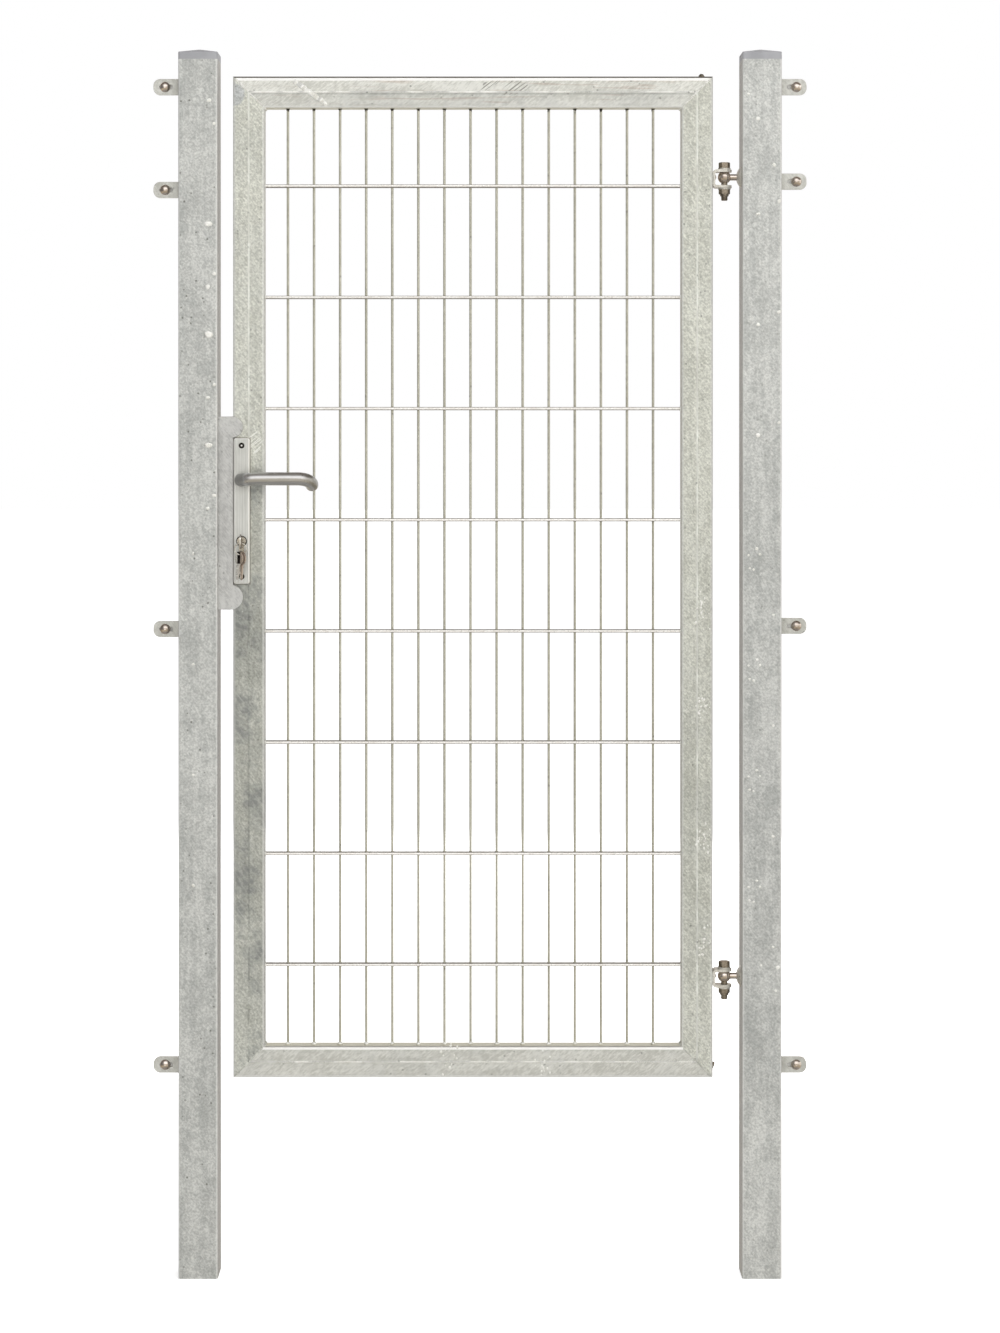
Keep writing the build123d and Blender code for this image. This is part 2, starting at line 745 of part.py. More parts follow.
def cylinder_plug():
    inner = -cam_width / 2
    body = rod_y(plug, lock_x, -plug_end, inner, cylinder_z)
    half_w = key_thick / 2 + keyway_play
    half_h = key_blade / 2 + keyway_play
    deep = -plug_end + key_blade_length + keyway_past
    slot = block(lock_x - half_w, lock_x + half_w, -plug_end, deep, cylinder_z - half_h, cylinder_z + half_h)
    return body - slot


def rear_plug():
    slack = cam_slot / 2
    body = rod_y(plug, lock_x, slack, plug_end, cylinder_z)
    half_w = key_thick / 2 + keyway_play
    half_h = key_blade / 2 + keyway_play
    deep = plug_end - key_blade_length + keyway_past
    return body - block(lock_x - half_w, lock_x + half_w, deep, plug_end, cylinder_z - half_h, cylinder_z + half_h)


def cylinder_cam():
    half = cam_width / 2
    hub = rod_y(cam_hub, lock_x, -half, half, cylinder_z)
    nose = block(lock_x - cam_nose / 2, lock_x + cam_nose / 2, -half, half, cylinder_z - cam_reach, cylinder_z)
    return hub + (nose & rod_y(2 * cam_reach, lock_x, -half, half, cylinder_z))


def cylinder_fixing_screw():
    length = lock_x + cylinder_lobe / 2 + cylinder_screw_past - forend_x
    return countersunk(cylinder_screw, cylinder_screw_head, length, cylinder_screw_z)


# Keys


def key_blank(bitten):
    bow = Pos(key_bow_length / 2 - key_hole_inset, 0)
    bow = bow * RectangleRounded(key_bow_length, key_bow_width, key_bow_round)
    bow_end = key_bow_length - key_hole_inset
    neck = Pos(bow_end + key_neck / 2 - key_notch_depth / 2, 0)
    outline = bow + neck * Rectangle(key_neck + key_notch_depth, key_neck_width)
    blade_start = bow_end + key_neck
    blade = make_face(
        Polyline(
            (blade_start - key_notch_depth, -key_blade / 2),
            (blade_start + key_blade_length - key_blade / 2, -key_blade / 2),
            (blade_start + key_blade_length, 0),
            (blade_start + key_blade_length - key_blade / 2, key_blade / 2),
            (blade_start - key_notch_depth, key_blade / 2),
            close=True,
        )
    )
    outline += blade
    outline -= Circle(key_hole / 2)
    if bitten:
        for i in range(key_notches):
            notch = Rectangle(key_notch_depth, key_notch_depth)
            outline -= Pos(blade_start + (i + 0.7) * key_notch_pitch, key_blade / 2) * Rot(0, 0, 45) * notch
    return extrude(outline, amount=key_thick / 2, both=True)


def lock_key():
    place = Plane(origin=(lock_x, key_hole_y, cylinder_z), x_dir=(0, 1, 0), z_dir=(1, 0, 0))
    return place.location * key_blank(False)


def spare_key(offset, lean):
    wire_z = ring_z - sqrt(ring_radius**2 - offset**2)
    hole_z = wire_z - (key_hole - ring_wire) / 2 + spare_play
    place = Pos(lock_x + offset, key_hole_y, hole_z) * Rot(0, 0, spare_turn) * Rot(0, 90, 0) * Rot(0, 0, lean)
    return place * key_blank(True)


def key_ring():
    return Pos(lock_x, key_hole_y, ring_z) * Rot(90, 0, 0) * Torus(ring_radius, ring_wire / 2)


# All pieces by name

upper_hinge, lower_hinge = hinge_heights
socket_hole = socket + 2 * screw_play
hinge_post = post(post_centre)
for height in hinge_heights:
    hinge_post -= rod_x(socket_hole, hinge_face, hinge_face + post_wall, 0, height)
clamps = clamp_places()

pieces = {
    "lock_post": post(-post_centre),
    "hinge_post": hinge_post,
    "lock_post_cap": post_cap(-post_centre),
    "hinge_post_cap": post_cap(post_centre),
    "lock_post_fence_tabs": [fence_tab(-1, drop) for drop in lock_tab_drops],
    "hinge_post_fence_tabs": [fence_tab(1, drop) for drop in hinge_tab_drops],
    "fence_clamp_bolts": [clamp_bolt_at(x, z) for x, z in clamps],
    "fence_clamp_plates": [clamp_plate_at(x, z) for x, z in clamps],
    "fence_clamp_washers": [clamp_washer_at(x, z) for x, z in clamps],
    "fence_clamp_nuts": [clamp_nut_at(x, z) for x, z in clamps],
    "stop_plate": stop_plate(),
    "keeper_channel": keeper_channel(),
    "upper_eye_bolt": eye_bolt(upper_hinge),
    "lower_eye_bolt": eye_bolt(lower_hinge),
    "upper_eye_socket": eye_socket(upper_hinge),
    "lower_eye_socket": eye_socket(lower_hinge),
    "lock_stile": lock_stile(),
    "hinge_stile": stile(leaf_right, leaf_right - tube_face),
    "top_rail": rail(leaf_top, leaf_top - tube_face),
    "bottom_rail": rail(leaf_foot, leaf_foot + tube_face),
    "upright_wires": [rod_z(upright_wire, x, 0, mesh_bottom, mesh_top) for x in upright_places()],
    "front_cross_wires": [rod_x(cross_wire, mesh_left, mesh_right, -cross_y, z) for z in cross_places()],
    "rear_cross_wires": [rod_x(cross_wire, mesh_left, mesh_right, cross_y, z) for z in cross_places()],
    "upper_hinge_clevis": clevis(upper_hinge),
    "lower_hinge_clevis": clevis(lower_hinge),
    "hinge_pin_bolts": [pin_bolt(z) for z in hinge_heights],
    "hinge_pin_washers": [
        pin_washer_at(low, z) for z in hinge_heights for low in (upper_leg + clevis_plate, nut_seat)
    ],
    "hinge_pin_nuts": [pin_nut_at(z) for z in hinge_heights],
    "lock_case": lock_case(),
    "lock_case_cover": case_cover(),
    "lock_forend": forend(),
    "forend_screws": [
        countersunk(forend_screw, forend_screw_head, forend_screw_length, z) for z in forend_screw_heights
    ],
    "front_lock_plate": front_plate(),
    "rear_lock_plate": rear_plate(),
    "lock_plate_screws": [plate_screw_at(z) for z in plate_screw_heights],
    "front_lever": lever(),
    "rear_knob": mirrored(round_knob()),
    "handle_grub_screws": [grub_screw(lever_tube), mirrored(grub_screw(knob_neck))],
    "lever_spindle": lever_spindle(),
    "lock_follower": follower(),
    "latch_bolt": latch_bolt(),
    "latch_spring": latch_spring(),
    "dead_bolt": dead_bolt(),
    "cylinder_body": cylinder_body(),
    "cylinder_plug": cylinder_plug(),
    "cylinder_rear_plug": rear_plug(),
    "cylinder_cam": cylinder_cam(),
    "cylinder_fixing_screw": cylinder_fixing_screw(),
    "key_in_lock": lock_key(),
    "key_ring": key_ring(),
    "spare_keys": [spare_key(side * spare_spread, lean) for side, lean in zip((-1, 1), spare_leans)],
}

os.makedirs("parts", exist_ok=True)
for name, shape in pieces.items():
    if isinstance(shape, list):
        solids = [solid for item in shape for solid in item.solids()]
        shape = Compound(solids)
    shape.label = name
    export_step(shape, f"parts/{name}.step")
print(len(pieces), "pieces written")
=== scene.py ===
# %% [markdown]
# # A galvanised mesh gate between two posts
# The measured parts of the gate come in as the frame: posts, leaf, hinges and lock stand where they
# belong, in metres. This lesson adds what a fabricator and a galvanising bath leave on them: weld
# beads, seams, threads, frozen drops and the finishes of zinc, aluminium and plastic.

# %% Load the frame
import bpy
import bmesh
import math
import random
from mathutils import Matrix, Vector, noise


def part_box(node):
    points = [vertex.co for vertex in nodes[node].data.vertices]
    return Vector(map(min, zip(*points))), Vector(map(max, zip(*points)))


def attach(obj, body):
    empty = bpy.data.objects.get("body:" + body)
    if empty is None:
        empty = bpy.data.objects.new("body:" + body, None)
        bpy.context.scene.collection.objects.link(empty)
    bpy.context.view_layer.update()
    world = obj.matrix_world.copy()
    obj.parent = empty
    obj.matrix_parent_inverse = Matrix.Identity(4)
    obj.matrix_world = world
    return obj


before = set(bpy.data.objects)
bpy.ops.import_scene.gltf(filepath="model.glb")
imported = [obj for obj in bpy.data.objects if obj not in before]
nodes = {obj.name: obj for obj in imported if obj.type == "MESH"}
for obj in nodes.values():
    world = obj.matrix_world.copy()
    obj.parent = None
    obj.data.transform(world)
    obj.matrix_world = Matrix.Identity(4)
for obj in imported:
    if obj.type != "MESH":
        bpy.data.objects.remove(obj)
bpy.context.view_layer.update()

# %% [markdown]
# ## Camera
# The photograph looks straight at the gate from eye height with a long lens, and its uprights stay
# parallel. A tilted camera would make the posts lean together, so most of the view downwards is made
# with the lens shift that architectural photographers use, and only a small rest with a tilt.

# %% Camera
EYE_HEIGHT = 1.60
EYE_DISTANCE = 5.5
LENS_MM, SENSOR_MM = 77.45, 36.0
SHIFT_DOWN, SHIFT_RIGHT = 0.165, 0.015
TILT_DOWN = math.radians(0.14)

camera_data = bpy.data.cameras.new("gate_camera")
camera_data.sensor_width = SENSOR_MM
camera_data.lens = LENS_MM
camera_data.shift_x = SHIFT_RIGHT
camera_data.shift_y = -SHIFT_DOWN
camera = bpy.data.objects.new("gate_camera", camera_data)
camera.location = (0.0, -EYE_DISTANCE, EYE_HEIGHT)
camera.rotation_euler = (math.radians(90) - TILT_DOWN, 0.0, 0.0)
bpy.context.scene.collection.objects.link(camera)
bpy.context.scene.camera = camera
print("camera at", tuple(camera.location), "lens", LENS_MM)

# %% [markdown]
# ## Shader nodes with short names
# World, floor and finishes are all node graphs. Written out node by node they would fill pages, so a
# small class gives the few nodes that this lesson needs short names: fades, sums, blends and so on.

# %% Node helpers


class Graph:
    """Short names for shader nodes in one node tree."""

    def __init__(self, tree):
        self.tree = tree

    def put(self, value, socket):
        if isinstance(value, bpy.types.NodeSocket):
            self.tree.links.new(value, socket)
        else:
            socket.default_value = value

    def add(self, kind, inputs=(), **settings):
        """Make a node, fill or link its inputs and return its outputs."""
        node = self.tree.nodes.new("ShaderNode" + kind)
        for name, value in settings.items():
            setattr(node, name, value)
        for name, value in dict(inputs).items():
            self.put(value, node.inputs[name])
        return node.outputs

    def fade(self, value, low, high, out_low=0.0, out_high=1.0):
        inputs = {"Value": value, "From Min": low, "From Max": high, "To Min": out_low, "To Max": out_high}
        return self.add("MapRange", inputs, interpolation_type="SMOOTHSTEP")["Result"]

    def maths(self, operation, *values):
        return self.add("Math", enumerate(values), operation=operation)[0]

    def times(self, first, second):
        return self.maths("MULTIPLY", first, second)

    def sum(self, *weighted):
        total = 0.0
        for value, weight in weighted:
            total = self.maths("MULTIPLY_ADD", value, weight, total)
        return total

    def vectors(self, operation, *values):
        return self.add("VectorMath", enumerate(values), operation=operation)

    def parts(self, vector):
        outputs = self.add("SeparateXYZ", {0: vector})
        return outputs["X"], outputs["Y"], outputs["Z"]

    def blend(self, share, below, above, mode="MIX"):
        inputs = {0: share, 6: below, 7: above}
        return self.add("Mix", inputs, data_type="RGBA", blend_type=mode)[2]


print("node helpers ready")

# %% [markdown]
# ## Surroundings
# The gate stands in front of a white sweep, and the camera sees pure white behind it. Polished metal
# mirrors more than that: a bright sky ahead, a dark canopy overhead, the white sweep behind, tan and
# brown ground below, and one side darker than the other. On a round bar this gives a dark line on top,
# a white band, a tan band and a dark underside, as on the lever and the wires in the photograph. A
# picture of a real yard could do the same, but a few fades by direction are easier to tune.

# %% World
ROOM_FILL = 0.30
WHITE = (1.0, 1.0, 1.0, 1.0)
AHEAD = (0.66, 0.61, 0.53, 1.0)
LEFT_SIDE = (0.17, 0.165, 0.16, 1.0)
RIGHT_SIDE = (0.95, 0.93, 0.87, 1.0)
SKY = (1.65, 1.65, 1.63, 1.0)
CANOPY = (0.19, 0.165, 0.145, 1.0)
TAN_GROUND = (0.50, 0.45, 0.35, 1.0)
DARK_GROUND = (0.31, 0.30, 0.285, 1.0)

world = bpy.data.worlds.new("white_sweep")
world.use_nodes = True
world.cycles.sampling_method = "NONE"
world.node_tree.nodes.clear()
bpy.context.scene.world = world
yard = Graph(world.node_tree)
rays = yard.add("LightPath")
to_right, to_back, to_sky = yard.parts(yard.add("TexCoord")["Generated"])
under_canopy = yard.times(yard.fade(to_sky, 0.30, 0.55), yard.fade(to_back, -0.95, -0.30))
on_sweep = yard.times(yard.fade(to_back, 0.2, 0.7), yard.fade(to_sky, 0.50, 0.30))
mirrored = AHEAD
for share, colour in (
    (yard.fade(to_right, 0.75, 0.97), RIGHT_SIDE),
    (yard.fade(to_sky, 0.10, 0.45), SKY),
    (yard.fade(to_right, -0.2, -0.75), LEFT_SIDE),
    (on_sweep, WHITE),
    (under_canopy, CANOPY),
    (yard.fade(to_sky, -0.15, -0.45), TAN_GROUND),
    (yard.fade(to_sky, -0.55, -0.85), DARK_GROUND),
):
    mirrored = yard.blend(share, mirrored, colour)
room = yard.blend(rays["Is Glossy Ray"], (ROOM_FILL, ROOM_FILL, ROOM_FILL, 1.0), mirrored)
seen = yard.maths("MAXIMUM", rays["Is Camera Ray"], rays["Is Transmission Ray"])
background = yard.add("Background", {"Color": yard.blend(seen, room, WHITE)})
yard.add("OutputWorld", {"Surface": background[0]})
bpy.context.scene.view_settings.view_transform = "Standard"
print("room fill", ROOM_FILL)

# %% [markdown]
# ## Lamps
# Large soft boxes in front light the faces evenly from top to foot, one above lights what lies flat, and
# one behind lights the back. A sun lamp would be simpler, but it throws hard shadows of the wires. The
# boxes don't show in the metal, because the surroundings already give it something to mirror.

# %% Lamps
MIDDLE = Vector((0.0, 0.0, 1.2))


def soft_box(name, place, size, watts):
    lamp_data = bpy.data.lights.new(name, "AREA")
    lamp_data.shape = "RECTANGLE"
    lamp_data.size, lamp_data.size_y = size
    lamp_data.energy = watts
    lamp = bpy.data.objects.new(name, lamp_data)
    lamp.location = place
    lamp.rotation_euler = (MIDDLE - Vector(place)).to_track_quat("-Z", "Y").to_euler()
    lamp.visible_glossy = False
    bpy.context.scene.collection.objects.link(lamp)


soft_box("front_box", (1.6, -6.2, 3.3), (5.0, 3.0), 150.0)
soft_box("top_box", (0.5, -0.6, 5.6), (4.0, 2.0), 62.0)
soft_box("low_box", (-0.8, -6.0, 0.1), (5.0, 2.0), 172.0)
soft_box("back_box", (1.0, 5.6, 2.4), (4.0, 4.0), 200.0)

# %% [markdown]
# ## Floor
# The posts stand on a plain white floor that fades into the surroundings. It is a stage, not part of
# the gate. More light would whiten it too, but it would bleach the gate as well, so the floor glows by
# itself for the camera, up to the horizon, and still shows the faint shadow under the posts.

# %% Floor
FLOOR_HALF = 60.0
FLOOR_GREY = (0.8, 0.8, 0.8, 1.0)
NEAR_GLOW, NEAR = 0.62, 0.8
FAR_GLOW, FAR = 1.0, 2.6

floor_mesh = bpy.data.meshes.new("floor")
floor_bm = bmesh.new()
bmesh.ops.create_grid(floor_bm, x_segments=1, y_segments=1, size=FLOOR_HALF)
floor_bm.to_mesh(floor_mesh)
floor_bm.free()
floor = bpy.data.objects.new("floor", floor_mesh)
bpy.context.scene.collection.objects.link(floor)
floor_paint = bpy.data.materials.new("floor_paint")
floor_paint.use_nodes = True
paint = Graph(floor_paint.node_tree)
distance = paint.vectors("LENGTH", paint.add("TexCoord")["Object"])["Value"]
rays = paint.add("LightPath")
seen = paint.maths("MAXIMUM", rays["Is Camera Ray"], rays["Is Glossy Ray"])
glow = paint.fade(distance, NEAR, FAR, NEAR_GLOW, FAR_GLOW)
shader = floor_paint.node_tree.nodes["Principled BSDF"]
for name, value in (
    ("Base Color", FLOOR_GREY),
    ("Roughness", 0.9),
    ("Specular IOR Level", 0.0),
    ("Emission Color", WHITE),
    ("Emission Strength", paint.times(glow, seen)),
):
    paint.put(value, shader.inputs[name])
floor_mesh.materials.append(floor_paint)
floor.visible_glossy = False
print("floor glow", NEAR_GLOW, "to", FAR_GLOW)

# %% [markdown]
# ## Measure the frame
# Welds, seams and finishes need to know where things are. The numbers could be copied from the drawing,
# but they would go stale when a size changes, so they are read from the frame's boxes. A node that holds
# several loose solids, such as the wires, is taken apart into one box for each solid.

# %% Boxes of the frame


def solid_boxes(node):
    bm = bmesh.new()
    bm.from_mesh(nodes[node].data)
    bmesh.ops.remove_doubles(bm, verts=bm.verts, dist=1e-6)
    left = set(bm.verts)
    boxes = []
    while left:
        stack = [left.pop()]
        members = []
        while stack:
            vert = stack.pop()
            members.append(vert.co.copy())
            for edge in vert.link_edges:
                other = edge.other_vert(vert)
                if other in left:
                    left.remove(other)
                    stack.append(other)
        low = Vector(min(m[i] for m in members) for i in range(3))
        high = Vector(max(m[i] for m in members) for i in range(3))
        boxes.append((low, high))
    bm.free()
    return sorted(boxes, key=lambda b: (round(b[0].x, 4), round(b[0].z, 4)))


leaf_low, leaf_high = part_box("lock_stile")
leaf_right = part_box("hinge_stile")[1].x
leaf_left, leaf_foot, leaf_top = leaf_low.x, leaf_low.z, leaf_high.z
tube_face = leaf_high.x - leaf_low.x
tube_front, tube_back = leaf_low.y, leaf_high.y
top_rail_foot, bottom_rail_top = leaf_top - tube_face, leaf_foot + tube_face
top_rail_middle, bottom_rail_middle = leaf_top - tube_face / 2, leaf_foot + tube_face / 2
plate_low, plate_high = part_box("front_lock_plate")
plate_screws = [(low + high) / 2 for low, high in solid_boxes("lock_plate_screws")]
uprights = solid_boxes("upright_wires")
front_wires = solid_boxes("front_cross_wires")
rear_wires = solid_boxes("rear_cross_wires")
upright_radius = (uprights[0][1].x - uprights[0][0].x) / 2
cross_radius = (front_wires[0][1].z - front_wires[0][0].z) / 2
print("wires:", len(uprights), len(front_wires), len(rear_wires), "tube face", round(tube_face, 4))

# %% [markdown]
# ## Finishes: the building blocks
# Every finish here is made of the same few ideas: noise for clouds and grain, stretched noise for runs
# and scratches, and cell patterns for spots. All of them read Object coordinates, so they sit still on
# the metal in every pose. The surface's own direction tells faces from rounded edges.

# %% Finish helpers


def srgb(red, green, blue):
    def linear(value):
        value /= 255.0
        return value / 12.92 if value <= 0.04045 else ((value + 0.055) / 1.055) ** 2.4

    return (linear(red), linear(green), linear(blue), 1.0)


skins = {}


class Skin(Graph):
    """A Principled material whose patterns sit on the piece's own coordinates, kept by name in skins."""

    def __init__(self, name, metallic, roughness, edge_tint=WHITE):
        material = skins[name] = bpy.data.materials.new(name)
        material.use_nodes = True
        super().__init__(material.node_tree)
        self.set("Metallic", metallic)
        self.set("Roughness", roughness)
        self.set("Specular Tint", edge_tint)
        place = self.add("TexCoord")
        self.coords, self.normal = place["Object"], place["Normal"]

    def set(self, name, value):
        self.put(value, self.tree.nodes["Principled BSDF"].inputs[name])

    def slopes(self):
        """How far the surface looks along X, Y and Z, either way."""
        return self.parts(self.vectors("ABSOLUTE", self.normal)["Vector"])

    def stretched(self, scale, place=(0, 0, 0), turn=(0, 0, 0)):
        sizes = [1.0 / value for value in scale]
        inputs = {"Vector": self.coords, "Scale": sizes, "Location": place, "Rotation": turn}
        return self.add("Mapping", inputs, vector_type="TEXTURE")["Vector"]

    def noise(self, scale, detail=4.0, vector=None, rough=0.55):
        inputs = {"Vector": vector or self.coords, "Scale": scale, "Detail": detail, "Roughness": rough}
        return self.add("TexNoise", inputs)["Fac"]

    def lines(self, scale, detail, turn=(0, 0, 0), rough=0.55):
        """Noise that is drawn out into lines: scale is how fine it is along X, Y and Z."""
        return self.noise(1.0, detail, self.stretched(scale, turn=turn), rough)

    def cells(self, scale, vector=None):
        return self.add("TexVoronoi", {"Vector": vector or self.coords, "Scale": scale})["Distance"]

    def bump(self, height, depth):
        self.set("Normal", self.add("Bump", {"Distance": depth, "Height": height})["Normal"])


print("finish helpers ready")

# %% [markdown]
# ## Marks that have a place
# Some marks on the zinc sit at one place only: dull bands along a tube, some of them painted shade, dark
# clouds of crystals, an oval smear, groups of scored lines, and a painted shadow round the lock plate.
# They could be thin pieces of their own, but they have no thickness, so each one is a share between 0 and
# 1 that is worked out from the coordinates and used to mix a colour in.

# %% Shares of local marks
UP_TO_THE_RIGHT, UP_TO_THE_LEFT = (0, math.radians(52), 0), (0, math.radians(-38), 0)
CRYSTAL_CELLS, CRYSTAL_SHAPE = 120, (1, 1, 0.6)
CLOUD_PATCHES, RAGGED_EDGE = 8, 160
SCORED_LINES = (300, 300, 9)
# Width and strength of the painted shadow round the lock plate.
OUTLINE, OUTLINE_SHADOW = 0.002, 0.5


def bands(skin, dull_and_shade):
    """Share of dullness and painted shade by height: each band fades in between two heights and out between
    two.
    """
    height = skin.parts(skin.coords)[2]
    share = 0.0
    for low, full_low, full_high, high, amount in dull_and_shade:
        band = skin.times(skin.fade(height, low, full_low), skin.fade(height, high, full_high))
        share = skin.maths("MULTIPLY_ADD", band, amount, share)
    return share


def dark_clouds(skin, amount, turn):
    """Share of dark cloud: soft patches, broken up by long crystals."""
    crystals = skin.cells(CRYSTAL_CELLS, skin.stretched(CRYSTAL_SHAPE, turn=turn))
    patches = skin.fade(skin.noise(CLOUD_PATCHES, 5, rough=0.7), 0.46, 0.60)
    return skin.times(patches, skin.fade(crystals, 0.2, 0.8, amount, 0.5 * amount))


def oval(skin, centre, width, height):
    """Share of a smear: an oval on the front with a ragged edge."""
    shrink = (1.0 / width, 0.0, 1.0 / height)
    away = skin.vectors("MULTIPLY", skin.vectors("SUBTRACT", skin.coords, centre)["Vector"], shrink)
    away = skin.vectors("LENGTH", away["Vector"])["Value"]
    ragged = skin.maths("MULTIPLY_ADD", skin.noise(RAGGED_EDGE, 3), 0.5, away)
    return skin.fade(ragged, 1.30, 1.10)


def scored(skin, spot):
    """Share of scored lines within an oval spot."""
    lines = skin.fade(skin.lines(SCORED_LINES, 1, UP_TO_THE_RIGHT), 0.47, 0.42)
    return skin.times(lines, oval(skin, *spot))


def outline_shadow(skin, low, high):
    """Share of painted shadow: a thin line round the outline of a plate that lies on the piece."""
    across, _, height = skin.parts(skin.coords)
    share = OUTLINE_SHADOW
    for place, least, most in ((across, low.x, high.x), (height, low.z, high.z)):
        share = skin.times(share, skin.fade(place, least - OUTLINE, least - 0.6 * OUTLINE))
        share = skin.times(share, skin.fade(place, most + OUTLINE, most + 0.6 * OUTLINE))
    return share


print("local marks ready")

# %% [markdown]
# ## Wear and dust
# Rounded edges are rubbed bright by handling, with a painted highlight that is strongest where they look
# up. Faces that look sideways get a painted brown shade, and faces that look up or down a paler dust. Each
# edge could be picked by hand, but the surface's direction already tells them apart: on a flat face it lies
# along an axis, and on a rounded edge between two. The rails' upper edges get a painted dark line of shade
# on the corner and a painted white highlight band below it.

# %% Worn edges with painted highlights and shade
# White for worn edges and painted highlights, and the dark of a painted line of shade on the rails'
# corners.
PAINTED_HIGHLIGHT, PAINTED_LINE_SHADE = srgb(255, 255, 252), srgb(104, 98, 88)
# Pale dust for faces that look up or down; painted brown shade for faces that look sideways.
LYING_DUST, SIDE_SHADE = srgb(232, 228, 208), srgb(228, 224, 220)
LINE_END, BAND_START, SOFT = 0.0028, 0.0034, 0.001


def worn_and_highlit_rims(skin, rims):
    """Share of wear and painted highlight: rounded edges, most where they look up."""
    across, facing, upright = skin.slopes()
    flatness = skin.maths("MAXIMUM", skin.maths("MAXIMUM", across, facing), upright)
    looks_up = skin.fade(skin.parts(skin.normal)[2], -0.1, 0.5, 0.5 * rims, rims)
    return skin.times(skin.fade(flatness, 0.997, 0.96), looks_up)


# Faces that look sideways get a painted brown shade, and faces that look up or down a paler dust.
def dust_and_side_shade(skin, colour, dust_and_shade):
    across, _, upright = skin.slopes()
    colour = skin.blend(skin.fade(across, 0.6, 0.95, 0, dust_and_shade), colour, SIDE_SHADE, "MULTIPLY")
    return skin.blend(skin.fade(upright, 0.6, 0.95, 0, dust_and_shade), colour, LYING_DUST)


def upper_edge(skin, colour, height, line_shade, white):
    """Paint a rail's upper edge: a painted dark line of shade on the corner, and a painted white highlight
    band below it.
    """
    below = skin.maths("SUBTRACT", height, skin.parts(skin.coords)[2])
    band = skin.times(skin.fade(below, white, white - SOFT), skin.fade(below, LINE_END, BAND_START))
    line = skin.times(skin.fade(below, BAND_START, LINE_END), skin.fade(below, -SOFT, 0, 0, line_shade))
    line = skin.times(line, skin.fade(skin.parts(skin.normal)[2], 0.995, 0.96))
    return skin.blend(line, skin.blend(band, colour, PAINTED_HIGHLIGHT), PAINTED_LINE_SHADE)


print("worn edges ready")

# %% [markdown]
# ## Hot-dip galvanising
# Zinc from the bath is never one grey. It has soft clouds, fine mottling and grit, runs along the way it
# drained, bright specks where it froze thick, dark pits where the flux stayed and pale scratches from
# handling. A picture of zinc would repeat itself on a long post, so every mark is a pattern of its own
# size. One recipe, with other tones and amounts, covers posts, frame, wires, plates and hinges.

# %% Zinc recipe
RUNS_DOWN, RUNS_ACROSS = (75, 75, 5), (5, 75, 75)
FINE_HATCH, SCRATCH_LINES, BROWN_LINES = (430, 430, 90), (420, 420, 14), (7, 180, 180)
CLOUDS, MOTTLE, GRIT, GRAIN = 16, 95, 260, 900
SPECK_CELLS, PIT_CELLS, PIT_SHIFT = 130, 62, (3.1, 1.7, 5.3)
BROWN_EDGE = (0.45, 0.36, 0.29, 1.0)
SPECK, PIT, SCRATCH = srgb(230, 231, 226), srgb(120, 121, 115), srgb(226, 227, 220)
# The dull tone darkens the dull bands and also paints the shade under the top rail's seam and on its lower
# half.
DULL_AND_SHADE, DARK_CLOUD = srgb(196, 197, 198), srgb(146, 149, 147)
BROWN_STREAK, SMEAR = srgb(226, 211, 204), srgb(230, 232, 241)
POLISHED = 0.85
ZINC_RELIEF = 0.0003


